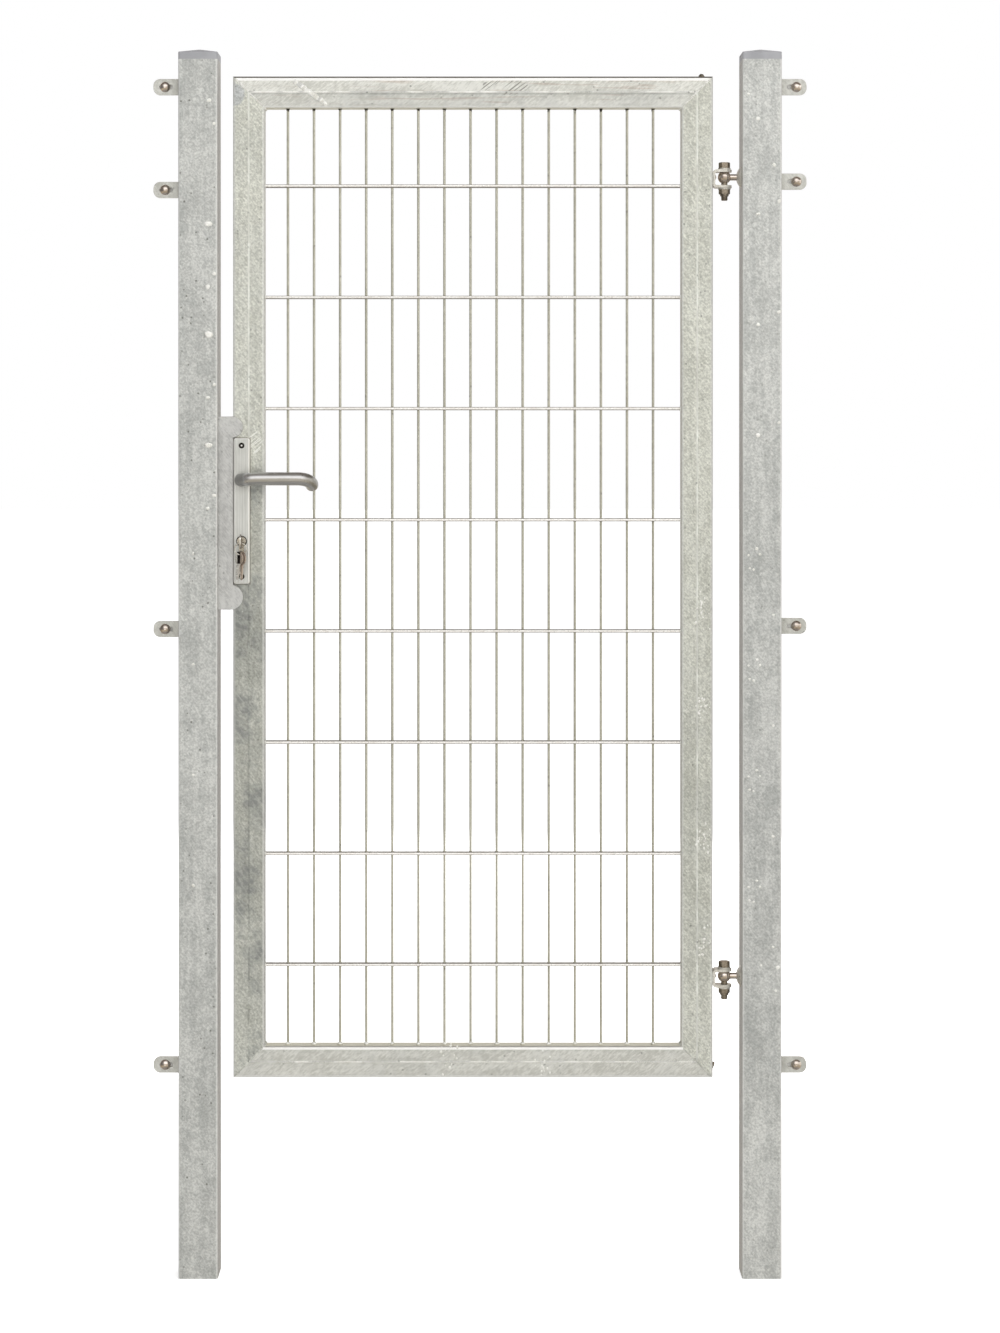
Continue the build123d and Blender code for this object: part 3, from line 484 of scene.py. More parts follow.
def zinc(name, pale, deep, metallic=0.25, roughness=0.44, runs=RUNS_DOWN, turn=UP_TO_THE_LEFT, hatch=0.26,
         specks=0.6, pits=0.6, scratches=0.3, grit=0.0, clouding=0.0, dull_and_shade=(), brown=0.0, smear=None,
         scores=None, dust_and_shade=0.0, rims=0.0, edges=(), beside=None):
    skin = Skin(name, metallic, roughness, BROWN_EDGE)
    clouds = skin.noise(CLOUDS, 6, rough=0.65)
    mottle = skin.noise(MOTTLE, 4, rough=0.6)
    streaks = skin.lines(runs, 4)
    fine = skin.lines(FINE_HATCH, 3, turn, rough=0.7)
    grain = skin.noise(GRAIN, 2)
    rest = 1.0 - hatch
    tone = skin.sum((clouds, 0.4 * rest), (mottle, 0.3 * rest), (streaks, 0.3 * rest), (fine, hatch))
    colour = skin.blend(skin.fade(tone, 0.42, 0.585), srgb(*deep), srgb(*pale))
    if grit:
        grains = skin.fade(skin.noise(GRIT, 2), 0.35, 0.65, 1.0 - grit, 1.0 + grit)
        colour = skin.blend(1.0, colour, grains, "MULTIPLY")
    dull_and_shade_share = bands(skin, dull_and_shade)
    if clouding:
        share = skin.times(dark_clouds(skin, clouding, turn), skin.fade(dull_and_shade_share, 0, 0.5, 0.3, 1))
        colour = skin.blend(share, colour, DARK_CLOUD)
    # Dull bands darken the colour; the ones under the top rail's seam and on its lower half are painted
    # shade.
    if dull_and_shade:
        colour = skin.blend(dull_and_shade_share, colour, DULL_AND_SHADE, "MULTIPLY")
    if brown:
        share = skin.fade(skin.lines(BROWN_LINES, 3), 0.56, 0.68, 0, brown)
        colour = skin.blend(share, colour, BROWN_STREAK, "MULTIPLY")
    if smear:
        colour = skin.blend(oval(skin, *smear), colour, SMEAR, "MULTIPLY")
    if scores:
        spot, mark = scores
        colour = skin.blend(scored(skin, spot), colour, mark)

    speck = skin.fade(skin.cells(SPECK_CELLS), 0.20, 0.10)
    speck = skin.times(speck, skin.fade(clouds, 0.52, 0.66, 0, specks))
    pit = skin.fade(skin.cells(PIT_CELLS, skin.stretched((1, 1, 1), PIT_SHIFT)), 0.17, 0.07)
    pit = skin.times(pit, skin.fade(streaks, 0.58, 0.48, 0, pits))
    scratch = skin.fade(skin.lines(SCRATCH_LINES, 2, turn), 0.66, 0.72, 0, scratches)
    for share, mark in ((speck, SPECK), (pit, PIT), (scratch, SCRATCH)):
        colour = skin.blend(share, colour, mark)

    # Painted brown shade on faces that look sideways, and a paler dust on faces that look up or down.
    if dust_and_shade:
        colour = dust_and_side_shade(skin, colour, dust_and_shade)
    # Rounded edges: wear, with a painted highlight that is strongest where they look up.
    if rims:
        rim = worn_and_highlit_rims(skin, rims)
        colour = skin.blend(rim, colour, PAINTED_HIGHLIGHT)
        skin.set("Metallic", skin.fade(rim, 0.5 * rims, rims, metallic, POLISHED))
    # Rails' upper edges: a painted dark line of shade on the corner and a painted white highlight band
    # below it.
    for edge in edges:
        colour = upper_edge(skin, colour, *edge)
    # A painted shadow as a thin line round the lock plate.
    if beside:
        colour = skin.blend(outline_shadow(skin, *beside), colour, PAINTED_LINE_SHADE)
    skin.set("Base Color", colour)

    shine = skin.sum((clouds, 0.5), (grain, 0.5))
    skin.set("Roughness", skin.fade(shine, 0.35, 0.65, roughness - 0.08, roughness + 0.12))
    relief = skin.sum((grain, 0.3), (streaks, 0.5), (mottle, 0.3), (speck, 0.6), (pit, -0.6))
    skin.bump(relief, ZINC_RELIEF)


print("zinc recipe ready")

# %% [markdown]
# ## Zinc on posts and leaf
# The tubes came out of the bath in different tones. The posts are the greyest, the stiles greener, and
# the rails the palest. The lock stile is dull from the lock plate down, and the top rail has brown
# streaks, a fine shadow under its seam and a group of dark scores. Each tube could have its own recipe,
# but the differences are only tones, amounts and places, so each is one call.

# %% Zinc finishes of the tubes
# A band is: low end, where it is full, where it stops being full, high end, amount. Most bands are dull
# zinc; those under the top rail's seam and on its lower half are painted shade.
LOCK_STILE_DULL = ((0.35, 0.50, 1.50, 1.58, 0.5), (0.40, 0.60, 1.00, 1.06, 0.08),
                   (1.10, 1.16, 1.26, 1.30, 0.3))
HINGE_STILE_DULL = ((0.40, 0.70, 0.9, 1.7, 0.25),)
HINGE_POST_DULL = ((0.2, 0.5, 1.3, 1.8, 0.2),)
# Painted shade: the top rail's lower half is darker than its upper half.
LOWER_HALF_SHADE = (top_rail_foot, top_rail_foot + 0.005, top_rail_middle - 0.002, top_rail_middle, 0.25)
SEAM_SHADOW = (*(top_rail_middle - below for below in (0.0052, 0.0042, 0.0026, 0.0016)), 0.45)
BOTTOM_RAIL_DULL = ((leaf_foot - 0.001, leaf_foot, bottom_rail_top, bottom_rail_top + 0.001, 0.15),)
# An upper edge is: its height, share of the painted dark line of shade, depth of the painted white
# highlight band.
TOP_RAIL_EDGE, BOTTOM_RAIL_EDGE = (leaf_top, 0.9, 0.0088), (bottom_rail_top, 0.1, 0.0070)
# A spot is: its middle on the front, half width, half height.
CORNER_SMEAR = ((leaf_left, tube_front, leaf_top - 0.034), 0.023, 0.024)
RAIL_SCORES = (((leaf_left + 0.521, tube_front, leaf_top - 0.021), 0.048, 0.016), srgb(150, 150, 143))
STILE_SCORES = (((leaf_left + 0.042, tube_front, leaf_top - 0.699), 0.014, 0.022), srgb(240, 241, 235))

POST = dict(specks=0.9, scratches=0.1, grit=0.13, rims=0.8)
STILE = dict(specks=0.4, hatch=0.4, grit=0.15)
LOCK_STILE = dict(pale=(228, 229, 219), deep=(196, 197, 187), clouding=0.8, dull_and_shade=LOCK_STILE_DULL, **STILE)
RAIL = dict(runs=RUNS_ACROSS, turn=UP_TO_THE_RIGHT, specks=0.5, hatch=0.4, clouding=0.4, rims=1.0, dust_and_shade=0.8)

zinc("post_zinc", (210, 211, 207), (180, 182, 179), pits=0.9, dust_and_shade=0.7, **POST)
zinc("hinge_post_zinc", (215, 216, 212), (184, 186, 183), pits=0.4, dust_and_shade=0.8, dull_and_shade=HINGE_POST_DULL, **POST)
zinc("lock_stile_zinc", rims=0.7, beside=(plate_low, plate_high), smear=CORNER_SMEAR, scores=STILE_SCORES,
     **LOCK_STILE)
zinc("ground_zinc", **LOCK_STILE)
zinc("hinge_stile_zinc", (222, 223, 213), (190, 191, 181), clouding=0.4, rims=0.7, dust_and_shade=0.9,
     dull_and_shade=HINGE_STILE_DULL, **STILE)
zinc("top_rail_zinc", (238, 238, 231), (205, 205, 197), edges=(TOP_RAIL_EDGE,),
     dull_and_shade=(LOWER_HALF_SHADE, SEAM_SHADOW), brown=0.6, scores=RAIL_SCORES, **RAIL)
zinc("bottom_rail_zinc", (234, 234, 227), (200, 200, 192), edges=(BOTTOM_RAIL_EDGE,),
     dull_and_shade=BOTTOM_RAIL_DULL, **RAIL)
print("tube finishes:", list(skins))

# %% [markdown]
# ## Zinc on small parts and welds
# Thin parts drain fast, so wires, hinges and welds are smoother, shinier and have fewer specks than the
# tubes. Seams and fresh beads are nearly white, and the welds under the top rail are painted dark as
# shade. They take the same recipe, because they went through the same bath.

# %% Zinc finishes of small parts
zinc("tab_zinc", (218, 218, 212), (192, 192, 185), rims=0.6, dust_and_shade=0.4)
zinc("plate_zinc", (209, 209, 206), (175, 175, 173), specks=0.4, hatch=0.35, rims=0.3)
zinc("upright_zinc", (214, 213, 199), (194, 193, 179), metallic=0.6, roughness=0.3, specks=0.1)
zinc("hinge_zinc", (230, 228, 221), (202, 199, 190), metallic=0.5, roughness=0.3, specks=0.3)
zinc("weld_zinc", (242, 242, 236), (218, 218, 210), metallic=0.4, roughness=0.34, specks=0.1)
zinc("seam_zinc", (254, 254, 250), (240, 240, 233), metallic=0.4, roughness=0.32, specks=0.1)
zinc("soft_seam_zinc", (249, 250, 242), (231, 232, 223), roughness=0.36, specks=0.1, dull_and_shade=HINGE_STILE_DULL)
zinc("smooth_zinc", (222, 223, 214), (190, 191, 182), specks=0.1, hatch=0.4)
# Painted shade: the welds under the top rail are painted dark.
zinc("painted_shade_zinc", (70, 64, 56), (44, 40, 36), metallic=0.3, roughness=0.45, specks=0.1)
print("zinc finishes:", len(skins))

# %% [markdown]
# ## Painted shade and brass on the lock
# Painted shade sits in the recess round each plate screw and round the cylinder, which is why the screws
# read as dark rings with a bright middle. Of the spare keys, the left one shows a painted dark shade on its
# bow and the right one a brass tone. Rings could be cut into the plate, but they are shade and not shape,
# so the distance from each axis and the place of each key tell the finish where they are.

# %% Painted shade on screws and keys
# Painted shade colours: deep shade in recesses and on a key's bow, edge shade where a plated part turns
# away; brass is a key's own tone.
PAINTED_DEEP_SHADE, PAINTED_EDGE_SHADE, BRASS = srgb(26, 23, 20), srgb(120, 112, 103), srgb(188, 172, 158)
SCREW_RING, CYLINDER_RING = (0.0019, 0.0054), (0.0080, 0.0100)
SPARE_BOW = 0.0235
DARK_BOW_START, DARK_BOW_FULL = 0.007, 0.006

between_keys = plate_screws[0].x
spare_bow_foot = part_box("spare_keys")[1].z - SPARE_BOW
shade_rings = [(centre, *SCREW_RING) for centre in plate_screws]
shade_rings.append((sum(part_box("cylinder_plug"), Vector()) / 2, *CYLINDER_RING))


def recess_shade(skin):
    """Share of painted shade: a ring round the axis of each plate screw and round the lock cylinder."""
    flat = skin.vectors("MULTIPLY", skin.coords, (1, 0, 1))["Vector"]
    share = 0.0
    for centre, inner, outer in shade_rings:
        away = skin.vectors("DISTANCE", flat, (centre.x, 0.0, centre.z))["Value"]
        ring = skin.fade(away, 0.8 * inner, 1.1 * inner)
        ring = skin.times(ring, skin.fade(away, 1.06 * outer, outer))
        share = skin.maths("MAXIMUM", share, ring)
    return share


def spare_tones(skin, colour):
    """Paint the spare keys: painted shade on the left one's bow, brass on the right one."""
    across, _, height = skin.parts(skin.coords)
    bow = skin.times(skin.fade(across, between_keys - DARK_BOW_START, between_keys - DARK_BOW_FULL),
                     skin.fade(height, spare_bow_foot, spare_bow_foot + SOFT))
    # Painted shade on the left spare key's bow.
    colour = skin.blend(bow, colour, PAINTED_DEEP_SHADE)
    return skin.blend(skin.fade(across, between_keys - SOFT, between_keys + SOFT), colour, BRASS)


print("grime rings:", len(shade_rings))

# %% [markdown]
# ## Plated, brushed and moulded finishes
# Plated bolts are darker and shinier than the dipped steel, with a warm cast; the cross wires, cylinder
# and keys are plated too, and the cross wires, the key in the lock and its ring get painted shade where
# they turn away from the front. The lever, knob and lock plates are satin anodised aluminium, brushed
# along their length. The lever gets painted shade where it is bent at its root and tip, and the plates a
# painted highlight on their bevels and along the right edge. The caps are moulded plastic with a fine
# grain. Three short recipes are enough, one for each way of making the surface.

# %% Recipes for plate, brush and mould
# Painted shade on the lever's root and tip.
ROOT_SHADE, TIP_SHADE = srgb(141, 140, 137), srgb(180, 178, 174)
ROOT_START, ROOT_FULL, ROOT_METAL = 0.013, 0.004, 0.3
# A painted highlight band along the lock plate's right edge.
BRIGHT_EDGE = (plate_high.x - 0.0030, plate_high.x - 0.0024)
STAIN_RELIEF, BRUSH_RELIEF, MOULD_RELIEF = 0.0001, 0.00008, 0.00012
spindle_x = sum(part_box("lever_spindle"), Vector()).x / 2


def plated(name, pale, deep, metallic, roughness, painted_light=False, edges=(), spare=False):
    skin = Skin(name, metallic, roughness, BROWN_EDGE)
    clouds = skin.noise(60, 4)
    stain = skin.noise(240, 3)
    colour = skin.blend(skin.fade(clouds, 0.35, 0.65), srgb(*deep), srgb(*pale))
    # Painted shade: dark rings in the recess round each plate screw and round the cylinder.
    if painted_light:
        colour = skin.blend(recess_shade(skin), colour, PAINTED_DEEP_SHADE)
    if spare:
        colour = spare_tones(skin, colour)
    # Painted shade where the surface turns away from the front.
    if edges:
        colour = skin.blend(skin.fade(skin.slopes()[1], *edges), colour, PAINTED_EDGE_SHADE)
    skin.set("Base Color", colour)
    skin.set("Roughness", skin.fade(stain, 0.3, 0.7, roughness - 0.07, roughness + 0.1))
    skin.bump(stain, STAIN_RELIEF)


def brushed(name, pale, deep, metallic, roughness, grain_scale, painted_light=False, bent=False):
    skin = Skin(name, metallic, roughness)
    lines = skin.lines(grain_scale, 3)
    clouds = skin.noise(25, 3)
    tone = skin.sum((lines, 0.7), (clouds, 0.3))
    colour = skin.blend(skin.fade(tone, 0.35, 0.65), srgb(*deep), srgb(*pale))
    across = skin.parts(skin.coords)[0]
    facing = skin.slopes()[1]
    # Painted highlight on the plates' bevels and along the right edge, and painted shade in the screw
    # recesses.
    if painted_light:
        colour = skin.blend(skin.fade(facing, 0.997, 0.96), colour, PAINTED_HIGHLIGHT)
        colour = skin.blend(skin.fade(across, *BRIGHT_EDGE), colour, PAINTED_HIGHLIGHT)
        colour = skin.blend(recess_shade(skin), colour, PAINTED_DEEP_SHADE)
    # Painted shade on the lever where it is bent at its root and tip.
    if bent:
        root = skin.fade(across, spindle_x + ROOT_START, spindle_x + ROOT_FULL)
        tip = skin.fade(skin.parts(skin.normal)[0], 0.25, 0.60)
        colour = skin.blend(tip, skin.blend(root, colour, ROOT_SHADE), TIP_SHADE)
        skin.set("Metallic", skin.fade(root, 0, 1, metallic, ROOT_METAL * metallic))
    elif metallic < POLISHED:
        skin.set("Metallic", skin.fade(facing, 0.985, 0.9, metallic, POLISHED))
    skin.set("Base Color", colour)
    skin.set("Roughness", skin.fade(lines, 0.3, 0.7, roughness - 0.06, roughness + 0.08))
    skin.bump(lines, BRUSH_RELIEF)


def moulded(name, pale, deep, roughness):
    skin = Skin(name, 0.0, roughness)
    grain = skin.noise(1400, 2)
    clouds = skin.noise(18, 3)
    skin.set("Base Color", skin.blend(skin.fade(clouds, 0.35, 0.65), srgb(*deep), srgb(*pale)))
    skin.set("Roughness", skin.fade(grain, 0.3, 0.7, roughness - 0.08, roughness + 0.08))
    skin.bump(grain, MOULD_RELIEF)


print("plated, brushed and moulded recipes ready")

# %% Finishes of wires, bolts, lock and caps
ALONG_X, ALONG_Z = (12, 600, 600), (700, 700, 14)
SATIN = ((228, 228, 229), (208, 208, 208), 1.0, 0.32, ALONG_X)

plated("cross_zinc", (255, 253, 249), (246, 242, 236), 0.35, 0.3, edges=(0.92, 0.45))
plated("ball_zinc", (240, 230, 222), (210, 198, 188), 1.0, 0.16)
plated("bolt_zinc", (176, 166, 152), (136, 127, 114), 0.85, 0.28)
plated("screw_steel", (250, 248, 245), (232, 230, 226), 0.5, 0.3, painted_light=True)
plated("lock_steel", (178, 178, 174), (150, 150, 146), 0.7, 0.35)
plated("key_nickel", (246, 244, 238), (220, 215, 206), 0.8, 0.16, edges=(0.8, 0.3))
plated("spare_nickel", (244, 242, 236), (222, 218, 210), 0.6, 0.2, spare=True)
plated("cylinder_nickel", (228, 224, 214), (196, 190, 178), 0.9, 0.24)
brushed("lever_satin", *SATIN, bent=True)
brushed("knob_satin", *SATIN)
brushed("plate_satin", (222, 223, 219), (198, 199, 194), 0.4, 0.36, ALONG_Z, painted_light=True)
moulded("cap_plastic", (175, 175, 178), (163, 163, 166), 0.55)
print("finishes:", len(skins))

# %% [markdown]
# ## Dress the frame
# Each node of the frame keeps its shape and gets its finish. A table from finish to nodes is easier to
# check than a line for each node, and it shows at a glance what shares a finish.

# %% Finishes on the nodes
FINISHES = {
    "post_zinc": ["lock_post"],
    "hinge_post_zinc": ["hinge_post"],
    "tab_zinc": ["lock_post_fence_tabs", "hinge_post_fence_tabs"],
    "lock_stile_zinc": ["lock_stile"],
    "hinge_stile_zinc": ["hinge_stile"],
    "top_rail_zinc": ["top_rail"],
    "bottom_rail_zinc": ["bottom_rail"],
    "upright_zinc": ["upright_wires"],
    "cross_zinc": ["front_cross_wires", "rear_cross_wires"],
    "plate_zinc": ["stop_plate", "keeper_channel", "fence_clamp_plates"],
    "hinge_zinc": ["upper_hinge_clevis", "lower_hinge_clevis", "upper_eye_socket", "lower_eye_socket",
                   "hinge_pin_washers"],
    "ball_zinc": ["upper_eye_bolt", "lower_eye_bolt", "fence_clamp_bolts"],
    "bolt_zinc": ["hinge_pin_bolts", "hinge_pin_nuts", "fence_clamp_washers", "fence_clamp_nuts"],
    "screw_steel": ["forend_screws", "lock_plate_screws", "cylinder_fixing_screw", "handle_grub_screws"],
    "lock_steel": ["lock_case", "lock_case_cover", "lock_forend", "lever_spindle", "lock_follower",
                   "latch_spring", "latch_bolt", "dead_bolt"],
    "key_nickel": ["key_in_lock", "key_ring"],
    "spare_nickel": ["spare_keys"],
    "cylinder_nickel": ["cylinder_body", "cylinder_plug", "cylinder_rear_plug", "cylinder_cam"],
    "lever_satin": ["front_lever"],
    "knob_satin": ["rear_knob"],
    "plate_satin": ["front_lock_plate", "rear_lock_plate"],
    "cap_plastic": ["lock_post_cap", "hinge_post_cap"],
}
for finish, names in FINISHES.items():
    for name in names:
        nodes[name].data.materials.clear()
        nodes[name].data.materials.append(skins[finish])
dressed = sum(len(names) for names in FINISHES.values())
print("dressed nodes:", dressed, "of", len(nodes))

# %% [markdown]
# ## Tools for welds and threads
# A weld bead is a low ridge with a wavy edge. A bevelled curve would give an even bar, so each bead starts
# as a small half-round face that is pushed along the joint step by step; the steps are then nudged by
# noise so that no two stretches are alike. A thread is made the same way, with a turn in every step.
# Beads sink a little into the metal, because a weld grows out of it.

# %% Bead and thread tools
BEAD_OUTLINE = ((-0.5, -0.35), (-0.5, 0.0), (-0.3, 0.7), (0.0, 1.0), (0.3, 0.7), (0.5, 0.0), (0.5, -0.35))
THREAD_OUTLINE = ((-0.2, 0.0), (0.3, 0.4), (-0.2, 0.8))
SIDE_WAVES, HEIGHT_WAVES, WAVE_SHIFT = 160.0, 210.0, Vector((5, 5, 5))


def place_piece(name, bm, finish, body):
    bmesh.ops.recalc_face_normals(bm, faces=bm.faces)
    mesh = bpy.data.meshes.new(name)
    bm.to_mesh(mesh)
    bm.free()
    mesh.materials.append(skins[finish])
    for polygon in mesh.polygons:
        polygon.use_smooth = True
    piece = bpy.data.objects.new(name, mesh)
    bpy.context.scene.collection.objects.link(piece)
    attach(piece, body)
    print(name, "faces", len(mesh.polygons))


def push_along(bm, ring, count, move):
    """Extrude the face of a ring count times; move shifts each new ring. Returns all points."""
    face = bm.faces.new(ring)
    made = list(ring)
    for _ in range(count):
        grown = bmesh.ops.extrude_face_region(bm, geom=[face])["geom"]
        verts = [g for g in grown if isinstance(g, bmesh.types.BMVert)]
        face = [g for g in grown if isinstance(g, bmesh.types.BMFace)][0]
        move(verts)
        made += verts
    return made


def bead(bm, start, end, out, width, height, step, waver):
    start, end, out = Vector(start), Vector(end), Vector(out).normalized()
    side = (end - start).normalized().cross(out)
    ring = [bm.verts.new(start + side * (u * width) + out * (h * height)) for u, h in BEAD_OUTLINE]
    count = max(2, round((end - start).length / step))
    stride = (end - start) / count
    made = push_along(bm, ring, count, lambda verts: bmesh.ops.translate(bm, vec=stride, verts=verts))
    for vert in made:
        lift = (vert.co - start).dot(out)
        away = (vert.co - start).dot(side)
        vert.co += side * (away * waver * noise.noise(vert.co * SIDE_WAVES))
        if lift > 0.0:
            vert.co += out * (lift * waver * noise.noise(vert.co * HEIGHT_WAVES + WAVE_SHIFT))


def thread(bm, start, axis, length, radius, pitch, steps_a_turn=16):
    start, axis = Vector(start), Vector(axis)
    across = axis.orthogonal().normalized()
    points = [start + across * (radius + r * pitch) + axis * (h * pitch) for r, h in THREAD_OUTLINE]
    ring = [bm.verts.new(point) for point in points]
    count = round((length / pitch - 1.0) * steps_a_turn)
    turn = Matrix.Rotation(math.tau / steps_a_turn, 3, axis)
    rise = axis * (pitch / steps_a_turn)

    def wind(verts):
        bmesh.ops.rotate(bm, cent=start, matrix=turn, verts=verts)
        bmesh.ops.translate(bm, vec=rise, verts=verts)

    push_along(bm, ring, count, wind)
    print("thread of", count, "steps")


print("bead and thread tools ready")

# %% [markdown]
# ## Tube seams
# The tube is rolled from strip and welded along one line, which shows as a fine line down the middle of
# every front face. It is bright on the rails and softer on the stiles. On the lock stile it stops where
# the lock plate covers it, and below the plate it is ground down and has the stile's own tone. A painted
# line would do from afar, but a real ridge catches the light from every side.

# %% Seams
# A bead's numbers are: width, height, step along it, waver.
SEAM = (0.0034, 0.0004, 0.02, 0.2)
FRONT = (0.0, -1.0, 0.0)
lock_seam, hinge_seam = leaf_left + tube_face / 2, leaf_right - tube_face / 2
ground_seam = [((lock_seam, bottom_rail_middle), (lock_seam, plate_low.z))]
stile_seams = [
    ((lock_seam, plate_high.z), (lock_seam, top_rail_middle)),
    ((hinge_seam, bottom_rail_middle), (hinge_seam, top_rail_middle)),
]
rail_seams = [((lock_seam, z), (hinge_seam, z)) for z in (bottom_rail_middle, top_rail_middle)]

for name, ends, finish in (
    ("ground_seam", ground_seam, "ground_zinc"),
    ("stile_seams", stile_seams, "soft_seam_zinc"),
    ("rail_seams", rail_seams, "seam_zinc"),
):
    bm = bmesh.new()
    for (x0, z0), (x1, z1) in ends:
        bead(bm, (x0, tube_front, z0), (x1, tube_front, z1), FRONT, *SEAM)
    place_piece(name, bm, finish, "leaf")

# %% [markdown]
# ## Mitre welds
# The four tubes meet in mitres that are welded all round and then ground nearly flush. What is left is a
# very low bead across each face and a rounder one in each inner corner. The top corners keep a pale line;
# the bottom ones are ground flush and hardly show, so they take a finish close to the tubes'.

# %% Mitres
MITRE, CORNER = (0.0032, 0.0004, 0.005, 0.6), (0.007, 0.0032, 0.004, 0.35)
MITRE_INSET = 0.004
CORNER_REACH = Vector((0.0, 0.015, 0.0))

for name, z_edge, z_in, finish in (
    ("top_mitre_welds", leaf_top, top_rail_foot, "seam_zinc"),
    ("bottom_mitre_welds", leaf_foot, bottom_rail_top, "smooth_zinc"),
):
    bm = bmesh.new()
    for x_edge, x_in in ((leaf_left, leaf_left + tube_face), (leaf_right, leaf_right - tube_face)):
        inwards = Vector((math.copysign(1, x_in - x_edge), 0.0, math.copysign(1, z_in - z_edge)))
        first = Vector((x_edge, 0.0, z_edge)) + inwards * MITRE_INSET
        corner = Vector((x_in, 0.0, z_in))
        last = corner - inwards * MITRE_INSET
        for y, out in ((tube_front, -1.0), (tube_back, 1.0)):
            face = Vector((0.0, y, 0.0))
            bead(bm, first + face, last + face, (0.0, out, 0.0), *MITRE)
        bead(bm, corner - CORNER_REACH, corner + CORNER_REACH, inwards, *CORNER)
    place_piece(name, bm, finish, "leaf")

# %% [markdown]
# ## Wire welds
# Every wire ends on the frame in a small ring of weld. The uprights also have a bright blob in front at the
# foot and a dark one under the top rail, whose ring and blob are painted dark as shade, and every crossing
# is spot welded. A ring is a four-sided profile spun round the wire; blobs and spots are flattened balls.
# There are hundreds, so each has only a few faces.

# %% Wire ends and crossings
RING_SPREAD = 0.0022
RING_RISE = 0.0026
RING_SINK = 0.0004
RING_STEPS, RING_WAVES = 10, 31.0
BLOB = (0.0046, 0.0034, 0.0036)
# Blob under the top rail, painted dark as shade.
UPPER_BLOB = (0.0027, 0.0027, 0.0055)
SPOT = (0.0026, 0.0016, 0.0026)
LUMPS = 260.0


def weld_ring(bm, place, axis, radius):
    base, axis = Vector(place), Vector(axis)
    across = axis.orthogonal().normalized()
    size = 1.0 + 0.5 * noise.noise(base * RING_WAVES)
    spread, rise = RING_SPREAD * size, RING_RISE * size
    inside = radius - RING_SINK
    foot, waist = radius + spread, radius + 0.35 * spread
    profile = ((inside, -RING_SINK), (foot, -RING_SINK), (waist, 0.4 * rise), (inside, rise))
    verts = [bm.verts.new(base + across * r + axis * h) for r, h in profile]
    edges = [bm.edges.new((verts[i - 1], verts[i])) for i in range(len(verts))]
    bmesh.ops.spin(bm, geom=verts + edges, cent=base, axis=axis, dvec=(0, 0, 0), angle=math.tau,
                   steps=RING_STEPS, use_merge=True)


def blob(bm, place, radii, uneven, subdivisions=2):
    """A flattened ball, made uneven by noise."""
    place = Vector(place)
    shape = Matrix.Translation(place) @ Matrix.Diagonal((*radii, 1.0))
    made = bmesh.ops.create_icosphere(bm, subdivisions=subdivisions, radius=1.0, matrix=shape)["verts"]
    for vert in made:
        vert.co += (vert.co - place) * (uneven * noise.noise(vert.co * LUMPS))


# The welds under the top rail are painted dark as shade.
bm = bmesh.new()
for low, high in uprights:
    middle = (low + high) / 2
    weld_ring(bm, (middle.x, middle.y, high.z), (0, 0, -1), upright_radius)
    blob(bm, (middle.x, middle.y, high.z - 0.5 * UPPER_BLOB[2]), UPPER_BLOB, uneven=0.3)
place_piece("upper_wire_welds", bm, "painted_shade_zinc", "leaf")

bm = bmesh.new()
for low, high in uprights:
    middle = (low + high) / 2
    weld_ring(bm, (middle.x, middle.y, low.z), (0, 0, 1), upright_radius)
    blob(bm, (middle.x, low.y, low.z + 0.5 * BLOB[2]), BLOB, uneven=0.5)
for low, high in front_wires + rear_wires:
    middle = (low + high) / 2
    for x, inwards in ((low.x, 1.0), (high.x, -1.0)):
        weld_ring(bm, (x, middle.y, middle.z), (inwards, 0, 0), cross_radius)
place_piece("wire_end_welds", bm, "seam_zinc", "leaf")

bm = bmesh.new()
for low, high in uprights:
    x = (low.x + high.x) / 2
    for wires, towards in ((front_wires, -1.0), (rear_wires, 1.0)):
        for wire_low, wire_high in wires:
            z = (wire_low.z + wire_high.z) / 2
            blob(bm, (x, towards * upright_radius, z), SPOT, uneven=0.2, subdivisions=1)
place_piece("crossing_welds", bm, "cross_zinc", "leaf")

# %% [markdown]
# ## Welds on the posts and hinges
# The fence tabs are welded to the posts all round. The keeper and stop plate get stitches on the side
# that the leaf hides, and each hinge clevis has a bead up both sides of its foot. They are all the same
# bead, turned outwards from the corner between two faces.

# %% Post and hinge welds
FILLET = (0.005, 0.0022, 0.003, 0.55)
STITCH = 0.04
CLEVIS_CORNER = 0.009
LOCK_POST, HINGE_POST = -1.0, 1.0

posts = {LOCK_POST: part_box("lock_post"), HINGE_POST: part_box("hinge_post")}
outer_faces = {LOCK_POST: posts[LOCK_POST][0].x, HINGE_POST: posts[HINGE_POST][1].x}
bm = bmesh.new()
for side, node in ((LOCK_POST, "lock_post_fence_tabs"), (HINGE_POST, "hinge_post_fence_tabs")):
    root = outer_faces[side]
    for low, high in solid_boxes(node):
        for y, out in ((low.y, -1.0), (high.y, 1.0)):
            bead(bm, (root, y, low.z), (root, y, high.z), (side, out, 0.0), *FILLET)
        for z, out in ((low.z, -1.0), (high.z, 1.0)):
            bead(bm, (root, low.y, z), (root, high.y, z), (side, 0.0, out), *FILLET)
place_piece("tab_welds", bm, "weld_zinc", "posts")

lock_face = posts[LOCK_POST][1].x
bm = bmesh.new()
for node in ("keeper_channel", "stop_plate"):
    low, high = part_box(node)
    for z in (low.z, high.z - STITCH):
        bead(bm, (lock_face, high.y, z), (lock_face, high.y, z + STITCH), (1.0, 1.0, 0.0), *FILLET)
place_piece("keeper_welds", bm, "weld_zinc", "posts")

